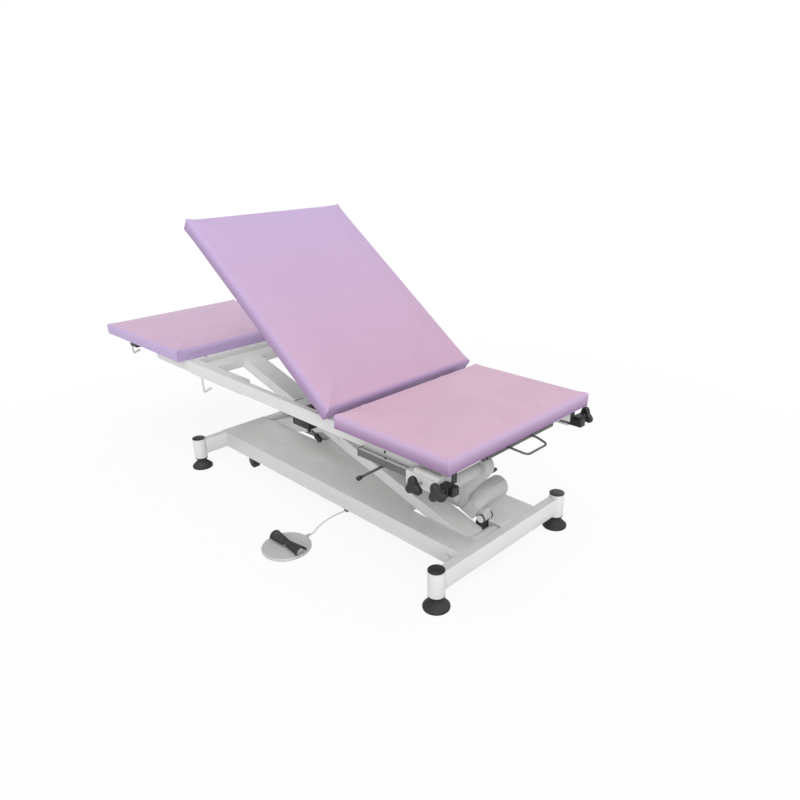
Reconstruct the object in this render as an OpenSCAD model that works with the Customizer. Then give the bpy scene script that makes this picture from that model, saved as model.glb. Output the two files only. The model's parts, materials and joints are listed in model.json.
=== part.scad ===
// Three-section electric examination table on a scissor lift.
// Millimetres. Z is up, X runs along the table towards the seat end,
// Y runs across it. The origin is on the floor under the base's centre.
// The table is drawn at its lowest height with the backrest raised.

/* [Base] */
// distance between the posts along the table
post_span_x = 1296; // [1280:1:1320]
// distance between the posts across the table
post_span_y = 590; // [570:1:620]
// outside diameter of a post
post_d = 50; // [48:0.5:52]
// wall of a post
post_wall = 2.5; // [2:0.1:3]
// height of a post's lower end above the floor
post_low = 44; // [42:0.5:46]
// height of a post's upper end above the floor
post_high = 124; // [122:0.5:127]
// thickness of the black lid on a post
lid_t = 3; // [2:0.1:4]
// diameter of a rubber foot
foot_d = 80; // [72:1:84]
// height of a foot's flat rim
foot_rim = 7; // [5:0.5:9]
// width of the base beams
beam_w = 30; // [28:0.5:32]
// height of the base beams
beam_h = 60; // [58:0.5:62]
// height of the beams' underside above the floor
beam_low = 56; // [54:0.5:58]
// wall of the beams
beam_wall = 2.5; // [2:0.1:3]
// distance from the centre line to a long beam's outer face
long_out = 182; // [178:1:190]
// thickness of the cover sheet
cover_t = 2; // [1.5:0.1:3]
// distance from the centre to the seat-end opening's inner edge
gap_r_x = 370; // [350:1:390]
// distance from the centre to the head-end opening's inner edge
gap_l_x = 264; // [240:1:280]
// diameter of a transport wheel
wheel_d = 50; // [44:1:54]
// width of a transport wheel
wheel_w = 20; // [16:1:24]
// distance of the transport wheels from the centre
wheel_x = 456; // [440:1:470]
// height of the transport wheels' axle above the floor
wheel_z = 41; // [38:0.5:44]
// diameter of the round plug in a long beam's side
plug_d = 25; // [20:1:28]

/* [Scissor] */
// distance of the fixed pivots from the centre
pivot_x = 608; // [606:0.5:610]
// height of the base pivots
pivot_z = 87; // [86:0.5:88]
// offset of the middle pivot along the table
mid_x = 6; // [5:0.5:8]
// height of the middle pivot
mid_z = 251; // [250:0.5:252]
// width of an arm
arm_w = 76; // [70:1:78]
// thickness of an arm
arm_t = 40; // [36:0.5:41]
// wall of an arm
arm_wall = 3; // [2.5:0.1:4]
// distance from the centre line to an arm's inner face
arm_in = 26; // [25:0.5:28]
// slope of the near arm's tube in degrees
arm_slope = 15.7; // [15.4:0.1:15.9]
// outside diameter of the near arm's pivot tube
tube_d = 48; // [44:0.5:49]
// diameter of the base pivot shaft
shaft_d = 24; // [20:0.5:26]
// diameter of the middle pivot shaft
mid_d = 18; // [16:0.5:20]
// diameter of the middle pivot's round heads
mid_head_d = 21; // [20.5:0.5:26]
// diameter of the round glides
glide_d = 23.8; // [22:0.2:24]
// length of a round glide
glide_l = 12; // [10:0.5:12.5]
// length of the crossbar between the rails
crossbar_l = 480; // [470:1:484]
// space between the crossbar's end and a glide guide
crossbar_gap = 4.5; // [3:0.1:5]
// width of the crossbar
crossbar_w = 74; // [66:1:75]
// thickness of the crossbar
crossbar_t = 30; // [28:0.5:31]

/* [Lift actuator] */
// distance of the actuator's base pin from the centre
act_x = 581; // [579:0.5:583]
// height of the actuator's base pin
act_z = 138; // [136:0.5:140]
// distance of the rod's pin from the middle pivot
act_arm = 80; // [78:0.5:82]
// diameter of the actuator's tube
act_tube_d = 44; // [43:0.5:46]
// diameter of the actuator's rod
act_rod_d = 20; // [16:0.5:20.5]
// diameter of the motor's barrel
motor_d = 71; // [64:1:72]
// diameter of the upper barrel's narrow part
can_d = 46; // [42:1:50]
// diameter of the pins' white caps
cap_d = 24; // [20:0.5:26]

/* [Top frame] */
// height of the side rails
rail_h = 44; // [42:0.5:45]
// width of the side rails
rail_w = 20; // [18:0.5:21]
// wall of the side rails
rail_wall = 2; // [1.5:0.1:2.5]
// height of the rails' top above the floor
rail_top = 445; // [444:0.5:446]
// distance from the centre to the rails' head end
rail_l = 920; // [900:1:940]
// distance from the centre to the rails' seat end
rail_r = 690; // [685:1:695]
// width of a glide guide
guide_w = 20; // [19:0.5:21]
// diameter of the roll hooks' wire
hook_d = 6; // [5:0.5:7]
// reach of a roll hook
hook_reach = 28; // [24:1:32]

/* [Pads] */
// width of the pads
pad_w = 650; // [640:1:660]
// thickness of the pads with their boards
pad_t = 49; // [46:0.5:52]
// length of the seat pad
seat_l = 445; // [442:1:448]
// position of the seat pad's inner end
seat_x = 273; // [272:0.5:276]
// length of the backrest pad
back_l = 840; // [820:1:846]
// length of the head pad
head_l = 647; // [600:1:660]
// distance from the centre to the head pad's inner end
head_x = 660; // [656:1:664]
// corner radius of the pads
pad_corner = 16; // [12:0.5:20]
// rounding of the pads' upper edge
pad_round = 13; // [10:0.5:16]
// rise of the pads' middle above their edges
pad_crown = 4; // [2:0.5:6]
// thickness of the boards under the pads
board_t = 4; // [3:0.5:5]

/* [Backrest] */
// position of the backrest hinge along the table
hinge_x = 244; // [243:0.5:245]
// height of the backrest hinge
hinge_z = 458; // [457:0.5:459]
// angle of the backrest as drawn, in degrees
back_angle = 36; // [30:0.5:40]
// distance from the hinge to the backrest pad's end
back_gap = 18; // [17:0.5:20]
// diameter of the hinge pins
hinge_pin_d = 10; // [8:0.5:11]
// length of the backrest's frame tubes
frame_l = 460; // [430:1:468]
// size of the backrest's frame tubes
frame_w = 25; // [22:0.5:26]
// diameter of the gas spring's cylinder
spring_d = 22; // [20:0.5:24]
// diameter of the gas spring's rod
spring_rod_d = 8; // [7:0.5:9]
// distance of the gas spring's pins from the hinge
spring_link_l = 180; // [178:0.5:182]

/* [Stirrup bars] */
// width and height of a slotted bar
bar_w = 24; // [22:0.5:24.5]
// length of a slotted bar
bar_l = 353; // [340:1:360]
// position of a slotted bar's inner end
bar_x = 360; // [355:0.5:365]
// height of the bars' centre
bar_z = 395; // [393:0.5:396]
// width of the bars' slots
slot_w = 6; // [5:0.1:7]
// depth of the bars' slots
slot_t = 5; // [4:0.1:6]
// length of a white bar bracket
bracket_l = 110; // [104:1:111]
// position of a white bar bracket's inner end
bracket_x = 563; // [562:0.5:566]
// reach of a knob's lobes from its centre
knob_r = 28; // [25:0.5:29]
// thickness of a knob
knob_t = 18; // [15:0.5:20]
// diameter of the clamp screws
screw_d = 8; // [6:0.5:9]

/* [Tray and lever] */
// width of the pull-out tray
tray_w = 300; // [280:1:306]
// length of the pull-out tray
tray_l = 264; // [250:1:268]
// height of the pull-out tray
tray_h = 12; // [11:0.5:12.5]
// position of the tray's front
tray_x = 706; // [704:0.5:708]
// offset of the tray from the centre line
tray_off = 8; // [4:0.5:10]
// diameter of the tray handle's wire
wire_d = 6; // [5:0.5:7]
// reach of the tray handle
wire_reach = 60; // [52:1:64]
// width of the tray handle
wire_w = 112; // [100:1:120]
// diameter of the release lever
lever_d = 8; // [7:0.5:9]
// length of the release lever
lever_l = 115; // [108:1:120]

/* [Foot control] */
// diameter of the foot control's disc
disc_d = 162; // [150:1:170]
// thickness of the foot control's disc
disc_t = 10; // [8:0.5:12]
// position of the foot control along the table
disc_x = 95; // [90:1:100]
// distance of the foot control from the centre line
disc_y = 411; // [400:1:425]
// length of the rocker
rocker_l = 146; // [130:1:150]
// width of the rocker's ends
rocker_w = 43; // [42:0.5:44]
// diameter of the cord
cord_d = 4; // [3.5:0.1:4.5]

/* [Hidden] */
$fn = 64;

// shared small distances
run_gap = 0.06;              // running clearance of a pin in its bore
free_gap = 0.3;              // space between pieces that slide past each other
side_gap = 1.5;              // space beside an arm in its opening
cut = 1;                     // how far a cutting shape runs past a face
small_edge = 1;              // broken edge of turned pieces

// colours
paint = [0.87, 0.88, 0.88];
black = [0.09, 0.09, 0.1];
graphite = [0.38, 0.38, 0.4];
moulded = [0.74, 0.75, 0.76];
lilac = [0.8, 0.67, 0.8];
steel = [0.7, 0.71, 0.73];
board_c = [0.25, 0.25, 0.27];

// derived places of the base
px = post_span_x / 2;
py = post_span_y / 2;
post_r = post_d / 2;
beam_top = beam_low + beam_h;
cross_in = px - beam_w / 2;
cross_out = px + beam_w / 2;
cover_top = beam_top + cover_t;
arm_out = arm_in + arm_w;
pivot_gap_far = 15;          // far edge of the seat-end opening

// derived places of the scissor
roll_x = 2 * mid_x - pivot_x;
roll_z = 2 * mid_z - pivot_z;
pin_slope = atan2(mid_z - pivot_z, pivot_x - mid_x);
half_arm = norm([pivot_x - mid_x, mid_z - pivot_z]);

// derived places of the actuator
rod_pin_x = mid_x + act_arm * cos(pin_slope);
rod_pin_z = mid_z + act_arm * sin(pin_slope);
act_slope = atan2(rod_pin_z - act_z, act_x - rod_pin_x);
act_len = norm([act_x - rod_pin_x, rod_pin_z - act_z]);

// derived places of the top frame; the rails stand beside the crossbar
guide_in = crossbar_l / 2 + crossbar_gap;
rail_in = guide_in + guide_w;
rail_out = rail_in + rail_w;
rail_low = rail_top - rail_h;
slot_play = 0.4;             // play of a round glide in its slot, above and below
glide_slot = glide_d + 2 * slot_play;
pad_top = rail_top + pad_t;

// derived places of the backrest
spring_low = 82;             // slope from the hinge down to the frame's spring pin
spring_high = 10;            // slope to the backrest's spring pin when flat
spring_y = 133;              // distance of the gas spring from the centre line
fx = hinge_x - spring_link_l * cos(spring_low);
fz = hinge_z - spring_link_l * sin(spring_low);
gx = hinge_x - spring_link_l * cos(spring_high - back_angle);
gz = hinge_z - spring_link_l * sin(spring_high - back_angle);
spring_len = norm([gx - fx, gz - fz]);
spring_slope = atan2(gz - fz, fx - gx);

// derived places of the bars
bar_gap = 0.5;              // space between a bar and its rail
bar_in = rail_out + bar_gap;
bar_y = bar_in + bar_w / 2;
bar_out = bar_in + bar_w;
bar_end = bar_x + bar_l;

// a box from its lowest to its highest corner
module box(a, b) {
    translate(a) cube(b - a);
}

// a round bar along Y from y0 to y1
module rod_y(x, z, d, y0, y1) {
    translate([x, y0, z]) rotate([-90, 0, 0]) cylinder(d = d, h = y1 - y0);
}

// a round bar along X from x0 to x1
module rod_x(y, z, d, x0, x1) {
    translate([x0, y, z]) rotate([0, 90, 0]) cylinder(d = d, h = x1 - x0);
}

// a flat plate with its outline in the X-Z plane, from y0 to y1
module plate_y(y0, y1) {
    translate([0, y1, 0]) rotate([90, 0, 0]) linear_extrude(height = y1 - y0) children();
}

// a square tube, closed at both ends
module tube(a, b, wall) {
    difference() {
        box(a, b);
        box([a[0] + wall, a[1] + wall, a[2] + wall], [b[0] - wall, b[1] - wall, b[2] - wall]);
    }
}

// both sides of a symmetric piece
module both_sides() {
    children();
    mirror([0, 1, 0]) children();
}

// both ends of a symmetric piece
module both_ends() {
    children();
    mirror([1, 0, 0]) children();
}

// all four posts' places
module each_post() {
    for (sx = [-1, 1], sy = [-1, 1]) translate([sx * px, sy * py, 0]) children();
}

// base

module base_posts() color(paint) each_post()
    translate([0, 0, post_low]) difference() {
        cylinder(r = post_r, h = post_high - post_low);
        translate([0, 0, -post_wall]) cylinder(r = post_r - post_wall, h = post_high);
    }

lid_plug_h = 14;             // depth of a lid's plug in its post
module post_lids() color(black) each_post() {
    translate([0, 0, post_high]) cylinder(r = post_r, h = lid_t);
    translate([0, 0, post_high - lid_plug_h]) cylinder(r = post_r - post_wall, h = lid_plug_h);
}

foot_step = 3;               // step above a foot's rim
foot_neck_r = 15;            // radius of a foot's neck
foot_neck_z = 33;            // height where the cone ends
foot_flare = 5;              // width of the cone's upper flare
foot_flare_h = 6;            // height of the cone's upper flare
foot_ring_z = 39;            // height where the ring under the post starts
module base_feet() color(black) each_post() {
    rotate_extrude() polygon([[0, 0], [foot_d / 2 - small_edge, 0], [foot_d / 2, small_edge],
        [foot_d / 2, foot_rim], [foot_d / 2 - foot_step, foot_rim + foot_step],
        [foot_neck_r + foot_flare, foot_neck_z - foot_flare_h], [foot_neck_r, foot_neck_z],
        [foot_neck_r, foot_ring_z], [post_r - small_edge, foot_ring_z], [post_r, foot_ring_z + small_edge],
        [post_r, post_low], [post_r - post_wall, post_low],
        [post_r - post_wall, post_low + lid_plug_h], [0, post_low + lid_plug_h]]);
}

module cross_beams() color(paint) {
    for (sx = [-1, 1]) difference() {
        translate([sx * px, 0, 0])
            tube([-beam_w / 2, -py, beam_low], [beam_w / 2, py, beam_top], beam_wall);
        for (sy = [-1, 1]) translate([sx * px, sy * py, 0]) cylinder(r = post_r, h = post_high);
    }
    pivot_lugs();
}

lug_t = 6;                   // thickness of the welded lug plates
lug_gap = 1;                 // space beside the near arm's pivot tube
near_lug_x = 566;            // where the near pivot lug ends
far_lug_x = 584;             // where the far pivot lug ends
// the lugs and the shaft that carry the near arm
module pivot_lugs() {
    near_y = -arm_out - side_gap - lug_t;
    far_y = pivot_gap_far + lug_gap;
    box([near_lug_x, near_y, beam_low], [cross_in, near_y + lug_t, beam_top]);
    box([far_lug_x, far_y, beam_low], [cross_in, far_y + lug_t, beam_top]);
    rod_y(pivot_x, pivot_z, shaft_d, near_y, far_y + lug_t);
}

wheel_y = long_out - beam_w / 2;
pocket_l = 60;               // length of a wheel's cut-out in a long beam's underside
pocket_w = 23;               // width of that cut-out
plug_x = 584;                // place of the round plugs in the long beams
plug_z = 77;                 // height of the round plugs
plug_t = 3;                  // thickness of the round plugs
module long_beams() color(paint) both_sides() {
    difference() {
        tube([-cross_in, long_out - beam_w, beam_low], [cross_in, long_out, beam_top], beam_wall);
        box([-wheel_x - pocket_l / 2, wheel_y - pocket_w / 2, beam_low - cut],
            [-wheel_x + pocket_l / 2, wheel_y + pocket_w / 2, beam_low + beam_wall + cut]);
    }
    rod_y(plug_x, plug_z, plug_d, long_out, long_out + plug_t);
}

far_gap = 9.5;               // space beyond the far arm in its opening
fork_room = 6;               // space round the fork in the cover
// the openings' edges: seat end for the near arm and the fork, head end for the far arm
module base_cover() color(paint) difference() {
    box([-cross_out, -long_out, beam_top], [cross_in, long_out, cover_top]);
    box([gap_r_x, -arm_out - side_gap, beam_low], [px, pivot_gap_far, post_high]);
    box([fork_stem - fork_room, pivot_gap_far - cut, beam_low],
        [act_x + fork_r + fork_room, fork_in + fork_t + side_gap, post_high]);
    box([-px - beam_w, arm_in - side_gap, beam_low], [-gap_l_x, arm_out + far_gap, post_high]);
}

channel_t = 4;               // sheet thickness of the arm channels
channel_d = 18;              // inside depth of the arm channels
channel_r = -300;            // seat-side end of the arm channels
channel_side = 1;            // space between the far arm and a channel
channel_c = (arm_in + arm_out) / 2;
channel_w = arm_w / 2 + channel_side;
module arm_channels() color(paint) for (s = [-1, 1]) difference() {
    h = glide_slot / 2 + channel_t;
    y0 = channel_c + s * channel_w;
    y1 = channel_c + s * (channel_w + channel_d + channel_t);
    ym = channel_c + s * (channel_w + channel_d);
    ys = y0 - s * cut;
    box([-cross_in, min(y0, y1), pivot_z - h], [channel_r, max(y0, y1), pivot_z + h]);
    box([-cross_in - cut, min(ys, ym), pivot_z - glide_slot / 2],
        [channel_r + cut, max(ys, ym), pivot_z + glide_slot / 2]);
}

act_pin_d = 12;              // diameter of the actuator's base pin
fork_in = 17;                // from the centre line to a cheek of the fork
fork_t = 5;                  // thickness of the fork's cheeks
fork_r = 14;                 // radius of the fork's eyes
fork_neck = 580;             // seat-side edge of the fork's stem
fork_stem = 542;             // head-side edge of the fork's stem
fork_foot_t = 4;             // thickness of the fork's foot plate
fork_step = 2;               // rise of the stem's floor above the beams' underside
fork_bend_z = 114;           // height where the cheeks' edge bends
fork_lap = 10;               // how far the foot plate laps under the cross beam
module actuator_fork() color(black) {
    low = beam_low - fork_foot_t;
    both_sides() plate_y(fork_in, fork_in + fork_t) difference() {
        union() {
            translate([act_x, act_z]) circle(r = fork_r);
            polygon([[fork_stem, low], [fork_neck, low], [fork_neck, fork_bend_z], [act_x + fork_r, act_z],
                [act_x - fork_r, act_z]]);
        }
        translate([act_x, act_z]) circle(d = act_pin_d);
    }
    box([fork_stem, -fork_in, low], [fork_neck, fork_in, beam_low + fork_step]);
    box([fork_neck, -fork_in - fork_t, low], [cross_in + fork_lap, fork_in + fork_t, beam_low]);
}

pin_cap_t = 3.4;             // reach of the white pin caps beyond the fork
cap_gap = 0.2;               // space between a pin cap and the fork
module actuator_pin() color(paint) {
    inner = fork_in + fork_t + cap_gap;
    rod_y(act_x, act_z, act_pin_d, -inner, inner);
    both_sides() rod_y(act_x, act_z, cap_d, inner, fork_in + fork_t + pin_cap_t);
}

wheel_axle_d = 8;            // diameter of the wheels' axles
wheel_side = 2;              // space between a wheel and its cheeks
mount_t = 3;                 // thickness of a wheel's cheeks
mount_d = 20;                // width of a wheel's cheeks
module wheel_mounts() color(paint) {
    half = wheel_w / 2 + wheel_side + mount_t / 2;
    both_sides() for (s = [-1, 1]) difference() {
        y0 = wheel_y + s * (wheel_w / 2 + wheel_side) - mount_t / 2;
        plate_y(y0, y0 + mount_t) union() {
            translate([-wheel_x, wheel_z]) circle(d = mount_d);
            translate([-wheel_x - mount_d / 2, wheel_z]) square([mount_d, beam_low - wheel_z]);
        }
        rod_y(-wheel_x, wheel_z, wheel_axle_d, y0 - cut, y0 + mount_t + cut);
    }
    both_sides() rod_y(-wheel_x, wheel_z, wheel_axle_d, wheel_y - half, wheel_y + half);
}

module wheel_near() color(black) mirror([0, 1, 0]) wheel_shape();

module wheel_far() color(black) wheel_shape();

module wheel_shape() difference() {
    rod_y(-wheel_x, wheel_z, wheel_d, wheel_y - wheel_w / 2, wheel_y + wheel_w / 2);
    rod_y(-wheel_x, wheel_z, wheel_axle_d + 2 * run_gap, wheel_y - wheel_w, wheel_y + wheel_w);
}

// foot control and its cord

clip_x = 124;                // place of the clip under the near beam
clip_z = 52;                 // height where the cord leaves the clip
clip_w = 18;                 // width of the clip
clip_l = 22;                 // length of the clip across the beam
clip_drop = 4;               // depth of the clip below the cord's axis
module cord_clip() color(black) {
    box([clip_x - clip_w / 2, -long_out, clip_z - clip_drop],
        [clip_x + clip_w / 2, -long_out + clip_l, beam_low]);
}

// a ring of points round the middle of a swept cord
function ring_at(p, d, r, n) =
    let (t = d / norm(d), s0 = cross(t, [0, 0, 1]), s = norm(s0) > 0.05 ? s0 / norm(s0) : [1, 0, 0],
        w = cross(s, t))
    [for (i = [0 : n - 1]) p + r * (cos(360 * i / n) * s + sin(360 * i / n) * w)];

// a point on a smooth curve through the route, k is the piece and t runs from 0 to 1
function smooth(p, k, t) =
    let (n = len(p), a = p[max(k - 1, 0)], b = p[k], c = p[min(k + 1, n - 1)], d = p[min(k + 2, n - 1)])
    0.5 * (2 * b + (c - a) * t + (2 * a - 5 * b + 4 * c - d) * t * t + (3 * b - a - 3 * c + d) * t * t * t);

module swept_cord(route, r, n, steps) {
    path = concat([for (k = [0 : len(route) - 2], j = [0 : steps - 1]) smooth(route, k, j / steps)],
        [route[len(route) - 1]]);
    m = len(path);
    pts = [for (i = [0 : m - 1]) each ring_at(path[i],
        path[min(i + 1, m - 1)] - path[max(i - 1, 0)], r, n)];
    sides = [for (i = [0 : m - 2], j = [0 : n - 1]) each
        [[i * n + j, i * n + (j + 1) % n, (i + 1) * n + (j + 1) % n],
         [i * n + j, (i + 1) * n + (j + 1) % n, (i + 1) * n + j]]];
    ends = [[for (j = [n - 1 : -1 : 0]) j], [for (j = [0 : n - 1]) (m - 1) * n + j]];
    polyhedron(pts, concat(sides, ends), 4);
}

gland_y = disc_y - disc_d / 2;     // edge of the disc on the table's side
gland_l = 14;                // length of the gland
gland_z = 8;                 // height of the gland's axis
gland_off = 3;               // offset of the gland from the disc's centre
gland_d = 12;                // diameter of the gland's wide end
gland_tip_d = 8;             // diameter of the gland's narrow end
// points of the cord's route, chosen by hand, from the clip to the gland
cord_route = [[124, -182, 52], [124, -187, 52], [124, -193, 52], [116, -212, 48], [108, -234, 41],
    [101, -260, 31], [98, -282, 21], [98, -298, 11], [98, -306, 8], [98, -311, 8], [98, -316, 8]];
cord_sides = 8;
cord_steps = 3;
module cord() color(moulded) swept_cord(cord_route, cord_d / 2, cord_sides, cord_steps);

disc_edge = 2;               // broken lower edge of the disc
disc_lip = 3;                // rounding of the disc's upper edge
rim_w = 7;                   // width of the disc's raised rim
rim_foot = 9;                // where the rim meets the disc's face
dish = 1.5;                  // depth of the disc's face below its rim
module pedal_base() color(moulded) translate([disc_x, -disc_y, 0])
    rotate_extrude() polygon([[0, 0], [disc_d / 2 - disc_edge, 0], [disc_d / 2, disc_edge],
        [disc_d / 2, disc_t - disc_lip], [disc_d / 2 - disc_lip, disc_t], [disc_d / 2 - rim_w, disc_t],
        [disc_d / 2 - rim_foot, disc_t - dish], [0, disc_t - dish]]);

disc_face = disc_t - dish;
rocker_off = 10;             // offset of the rocker from the disc's centre
rocker_px = disc_x + rocker_off;
rocker_z = 18;               // height of the arched rocker's axis
rocker_pz = 20;              // height of the rocker's pin
rocker_pin_d = 5;            // diameter of the rocker's pin
rocker_t = 2.5;              // wall of the rocker
rocker_waist = 13;           // radius of the rocker's waist
hump_z = 11;                 // height of the grey hump's axis
hump_a = 20;                 // where the hump starts from the rocker's middle
hump_b = 58;                 // where the hump ends
hump_gap = 0.6;              // space between the hump and the rocker's wall
block_w = 14;                // width of the block that carries the rocker's pin
block_rise = 5;              // height of that block above the pin's axis
// inside radius of the rocker at a distance from its middle
function rocker_in(x) =
    rocker_waist - rocker_t + (rocker_w / 2 - rocker_waist) * x / (rocker_l / 2 + rocker_t);

// the grey hump under one end of the rocker and the block with the rocker's pin
module pedal_hump() color(moulded) translate([0, -disc_y, 0]) {
    difference() {
        translate([rocker_px + hump_a, 0, hump_z]) rotate([0, 90, 0])
            cylinder(r1 = rocker_in(hump_a) - hump_gap, r2 = rocker_in(hump_b) - hump_gap,
                h = hump_b - hump_a);
        box([rocker_px, -rocker_w, hump_z - rocker_w], [rocker_px + rocker_l, rocker_w, disc_face]);
    }
    box([rocker_px - block_w / 2, -block_w / 2, disc_face],
        [rocker_px + block_w / 2, block_w / 2, rocker_pz + block_rise]);
    rod_y(rocker_px, rocker_pz, rocker_pin_d, -rocker_waist, rocker_waist);
}

// one solid of the rocker's bow-tie form, its walls drawn in by a distance
module bow_tie(wall) {
    both_ends() rotate([0, 90, 0])
        cylinder(r1 = rocker_waist - wall, r2 = rocker_w / 2 - wall, h = rocker_l / 2 + wall);
}

// an arched shell, narrow in the middle, open below and at both ends
module pedal_rocker() color(black) difference() {
    translate([rocker_px, -disc_y, rocker_z]) difference() {
        bow_tie(0);
        bow_tie(rocker_t);
        box([-rocker_l, -rocker_w, -2 * rocker_w], [rocker_l, rocker_w, 0]);
        both_ends() box([rocker_l / 2, -rocker_w, -rocker_w], [rocker_l, rocker_w, rocker_w]);
    }
    rod_y(rocker_px, rocker_pz, rocker_pin_d + 2 * run_gap, -disc_y - rocker_w, -disc_y + rocker_w);
}

module pedal_gland() color(moulded)
    translate([disc_x + gland_off, -gland_y, gland_z]) rotate([-90, 0, 0])
        cylinder(d1 = gland_d, d2 = gland_tip_d, h = gland_l);

// scissor arms

// moves a child from the pin line's own frame: x runs from the base pivot towards the head end
module on_line(x, z, slope) {
    translate([x, 0, z]) rotate([0, slope, 0]) children();
}

arm_start = 22;              // where the near arm's tube starts from its pivot
arm_short = 33.9;            // how far it ends before the glides' axis
arm_plug = 12;               // solid length at the tube's lower end
arm_block_l = 92;            // solid length at the tube's upper end, inside the crossbar
arm_end = 2 * half_arm - arm_short;
crossbar_in = 30;            // from the glides' axis to the crossbar's head-side edge
glide_pin_d = 12;            // diameter of the round glides' pins
glide_pin_in = 30;           // depth of those pins in the crossbar
module arm_a() color(paint) difference() {
    union() {
        on_line(pivot_x, pivot_z, arm_slope)
            box([-arm_end, -arm_out, -arm_t / 2], [-arm_start, -arm_in, arm_t / 2]);
        rod_y(pivot_x, pivot_z, tube_d, -arm_out, pivot_gap_far - lug_gap);
        box([roll_x - crossbar_in, -crossbar_l / 2, roll_z - crossbar_t / 2],
            [roll_x - crossbar_in + crossbar_w, crossbar_l / 2, roll_z + crossbar_t / 2]);
    }
    on_line(pivot_x, pivot_z, arm_slope)
        box([-arm_end + arm_block_l, -arm_out + arm_wall, -arm_t / 2 + arm_wall],
            [-arm_start - arm_plug, -arm_in - arm_wall, arm_t / 2 - arm_wall]);
    rod_y(pivot_x, pivot_z, shaft_d + 2 * run_gap, -arm_out - cut, pivot_gap_far + cut);
    rod_y(mid_x, mid_z, mid_d, -arm_out - cut, 0);
    both_sides() rod_y(roll_x, roll_z, glide_pin_d, crossbar_l / 2 - glide_pin_in, crossbar_l / 2 + cut);
}

glide_side = 1;              // space between a guide's inner face and its glide
module arm_a_glides() color(steel) both_sides() {
    rod_y(roll_x, roll_z, glide_pin_d, crossbar_l / 2 - glide_pin_in, guide_in + glide_side + glide_l / 4);
    rod_y(roll_x, roll_z, glide_d, guide_in + glide_side, guide_in + glide_side + glide_l);
}

mid_side = 1;                // space between the far arm and the pivot's head
mid_head_t = 4;              // thickness of the pivot's heads
module mid_pivot() color(paint) {
    rod_y(mid_x, mid_z, mid_d, -arm_out, arm_out + mid_side);
    rod_y(mid_x, mid_z, mid_head_d, -arm_out - mid_head_t, -arm_out);
    rod_y(mid_x, mid_z, mid_head_d, arm_out + mid_side, arm_out + mid_side + mid_head_t);
}

arm_b_rise = 3;              // the far arm's tube above its pin line
arm_b_lap = 14;              // reach of its lower end past the glides' axis
arm_b_short = 39.9;          // how far the tube ends before the top pivot
arm_b_plug = 24;             // solid length at both its ends
neck_t = 24;                 // thickness of the far arm's upper neck
neck_in = 20;                // depth of the neck in the tube
axle_d = 16;                 // diameter of the far arm's axles
eye_d = 28;                  // diameter of the far arm's upper eye
arm_b_end = 2 * half_arm - arm_b_short;
// the far arm seen from the side, in its pin line's own frame
module arm_b_outline() {
    translate([-arm_b_lap, arm_b_rise - arm_t / 2]) square([arm_b_end + arm_b_lap, arm_t]);
    translate([arm_b_end - neck_in, -neck_t / 2]) square([arm_b_short + neck_in, neck_t]);
    translate([2 * half_arm, 0]) circle(d = eye_d);
}

module arm_b() color(paint) difference() {
    plate_y(arm_in, arm_out) translate([roll_x, pivot_z]) rotate(pin_slope) difference() {
        arm_b_outline();
        circle(d = axle_d);
        translate([half_arm, 0]) circle(d = mid_d + 2 * run_gap);
        translate([2 * half_arm, 0]) circle(d = axle_d + 2 * run_gap);
    }
    translate([roll_x, 0, pivot_z]) rotate([0, -pin_slope, 0])
        box([arm_b_plug, arm_in + arm_wall, arm_b_rise - arm_t / 2 + arm_wall],
            [arm_b_end - arm_b_plug, arm_out - arm_wall, arm_b_rise + arm_t / 2 - arm_wall]);
    rod_y(rod_pin_x, rod_pin_z, axle_d, arm_in - cut, arm_in + arm_wall + cut);
}

pin_over = 1;                // reach of the lower axle past its glides
channel_play = 2;            // space between the glides and the channels' backs
rod_pin_in = 20;             // reach of the rod's pin past the centre line
module arm_b_pins() color(steel) {
    reach = channel_w + glide_l + pin_over;
    rod_y(roll_x, pivot_z, axle_d, channel_c - reach, channel_c + reach);
    for (s = [-1, 1]) {
        y = channel_c + s * (channel_w + glide_l / 2 + channel_play);
        rod_y(roll_x, pivot_z, glide_d, y - glide_l / 2, y + glide_l / 2);
    }
    rod_y(rod_pin_x, rod_pin_z, axle_d, -rod_pin_in, arm_in + arm_wall);
}

// lift actuator

// places a child with its x along the actuator's axis, away from the base pin
module on_actuator() {
    translate([act_x, 0, act_z]) rotate([0, act_slope, 0]) mirror([1, 0, 0]) children();
}

// points given as shares of a length and a height, from the base pin towards the head end and up
function from_pin(shares, l, h) = [for (q = shares) [act_x - q[0] * l, act_z + q[1] * h]];

knuckle_w = 33;              // width of the actuator's knuckle in its fork
knuckle_d = 26;              // diameter of the knuckle
neck_l = 40;                 // reach of the neck over the knuckle
neck_h = 34;                 // height of the neck
plate_near = 14;             // near face of the tall plate, from the centre line
plate_far = 25;              // far face of the tall plate
plate_l = 116;               // reach of the tall plate towards the head end
plate_h = 190;               // height of the tall plate's straight part
cap_near = 25.5;             // near face of the gear case's end, from the centre line
gear_far = 43;               // far face of the gear case
gear_skin = 1;               // thickness of the two end outlines that the gear case is drawn between
motor_in = 41;               // distances of the motor's axis from the base pin
motor_up = 46;
can_in = 30;                 // distances of the upper barrel's axis from the base pin
can_up = 162;
head_d = 78;                 // diameter of the tall plate's round head
neck_shares = [[-0.25, 0.12], [0.3, -0.29], [0.95, 0.24], [1, 1], [-0.15, 0.88]];
plate_shares = [[1, 0.14], [0.72, -0.03], [0.5, 0.03], [0.47, 0.34], [0.25, 0.53], [0.06, 0.67],
    [-0.06, 0.86], [0.09, 1], [0.5, 0.98], [0.63, 0.75], [0.79, 0.42]];
cap_shares = [[1.03, 0.06], [0.56, 0.72], [0.4, 0.67], [0.08, 0.42], [0.42, -0.17]];
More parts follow.
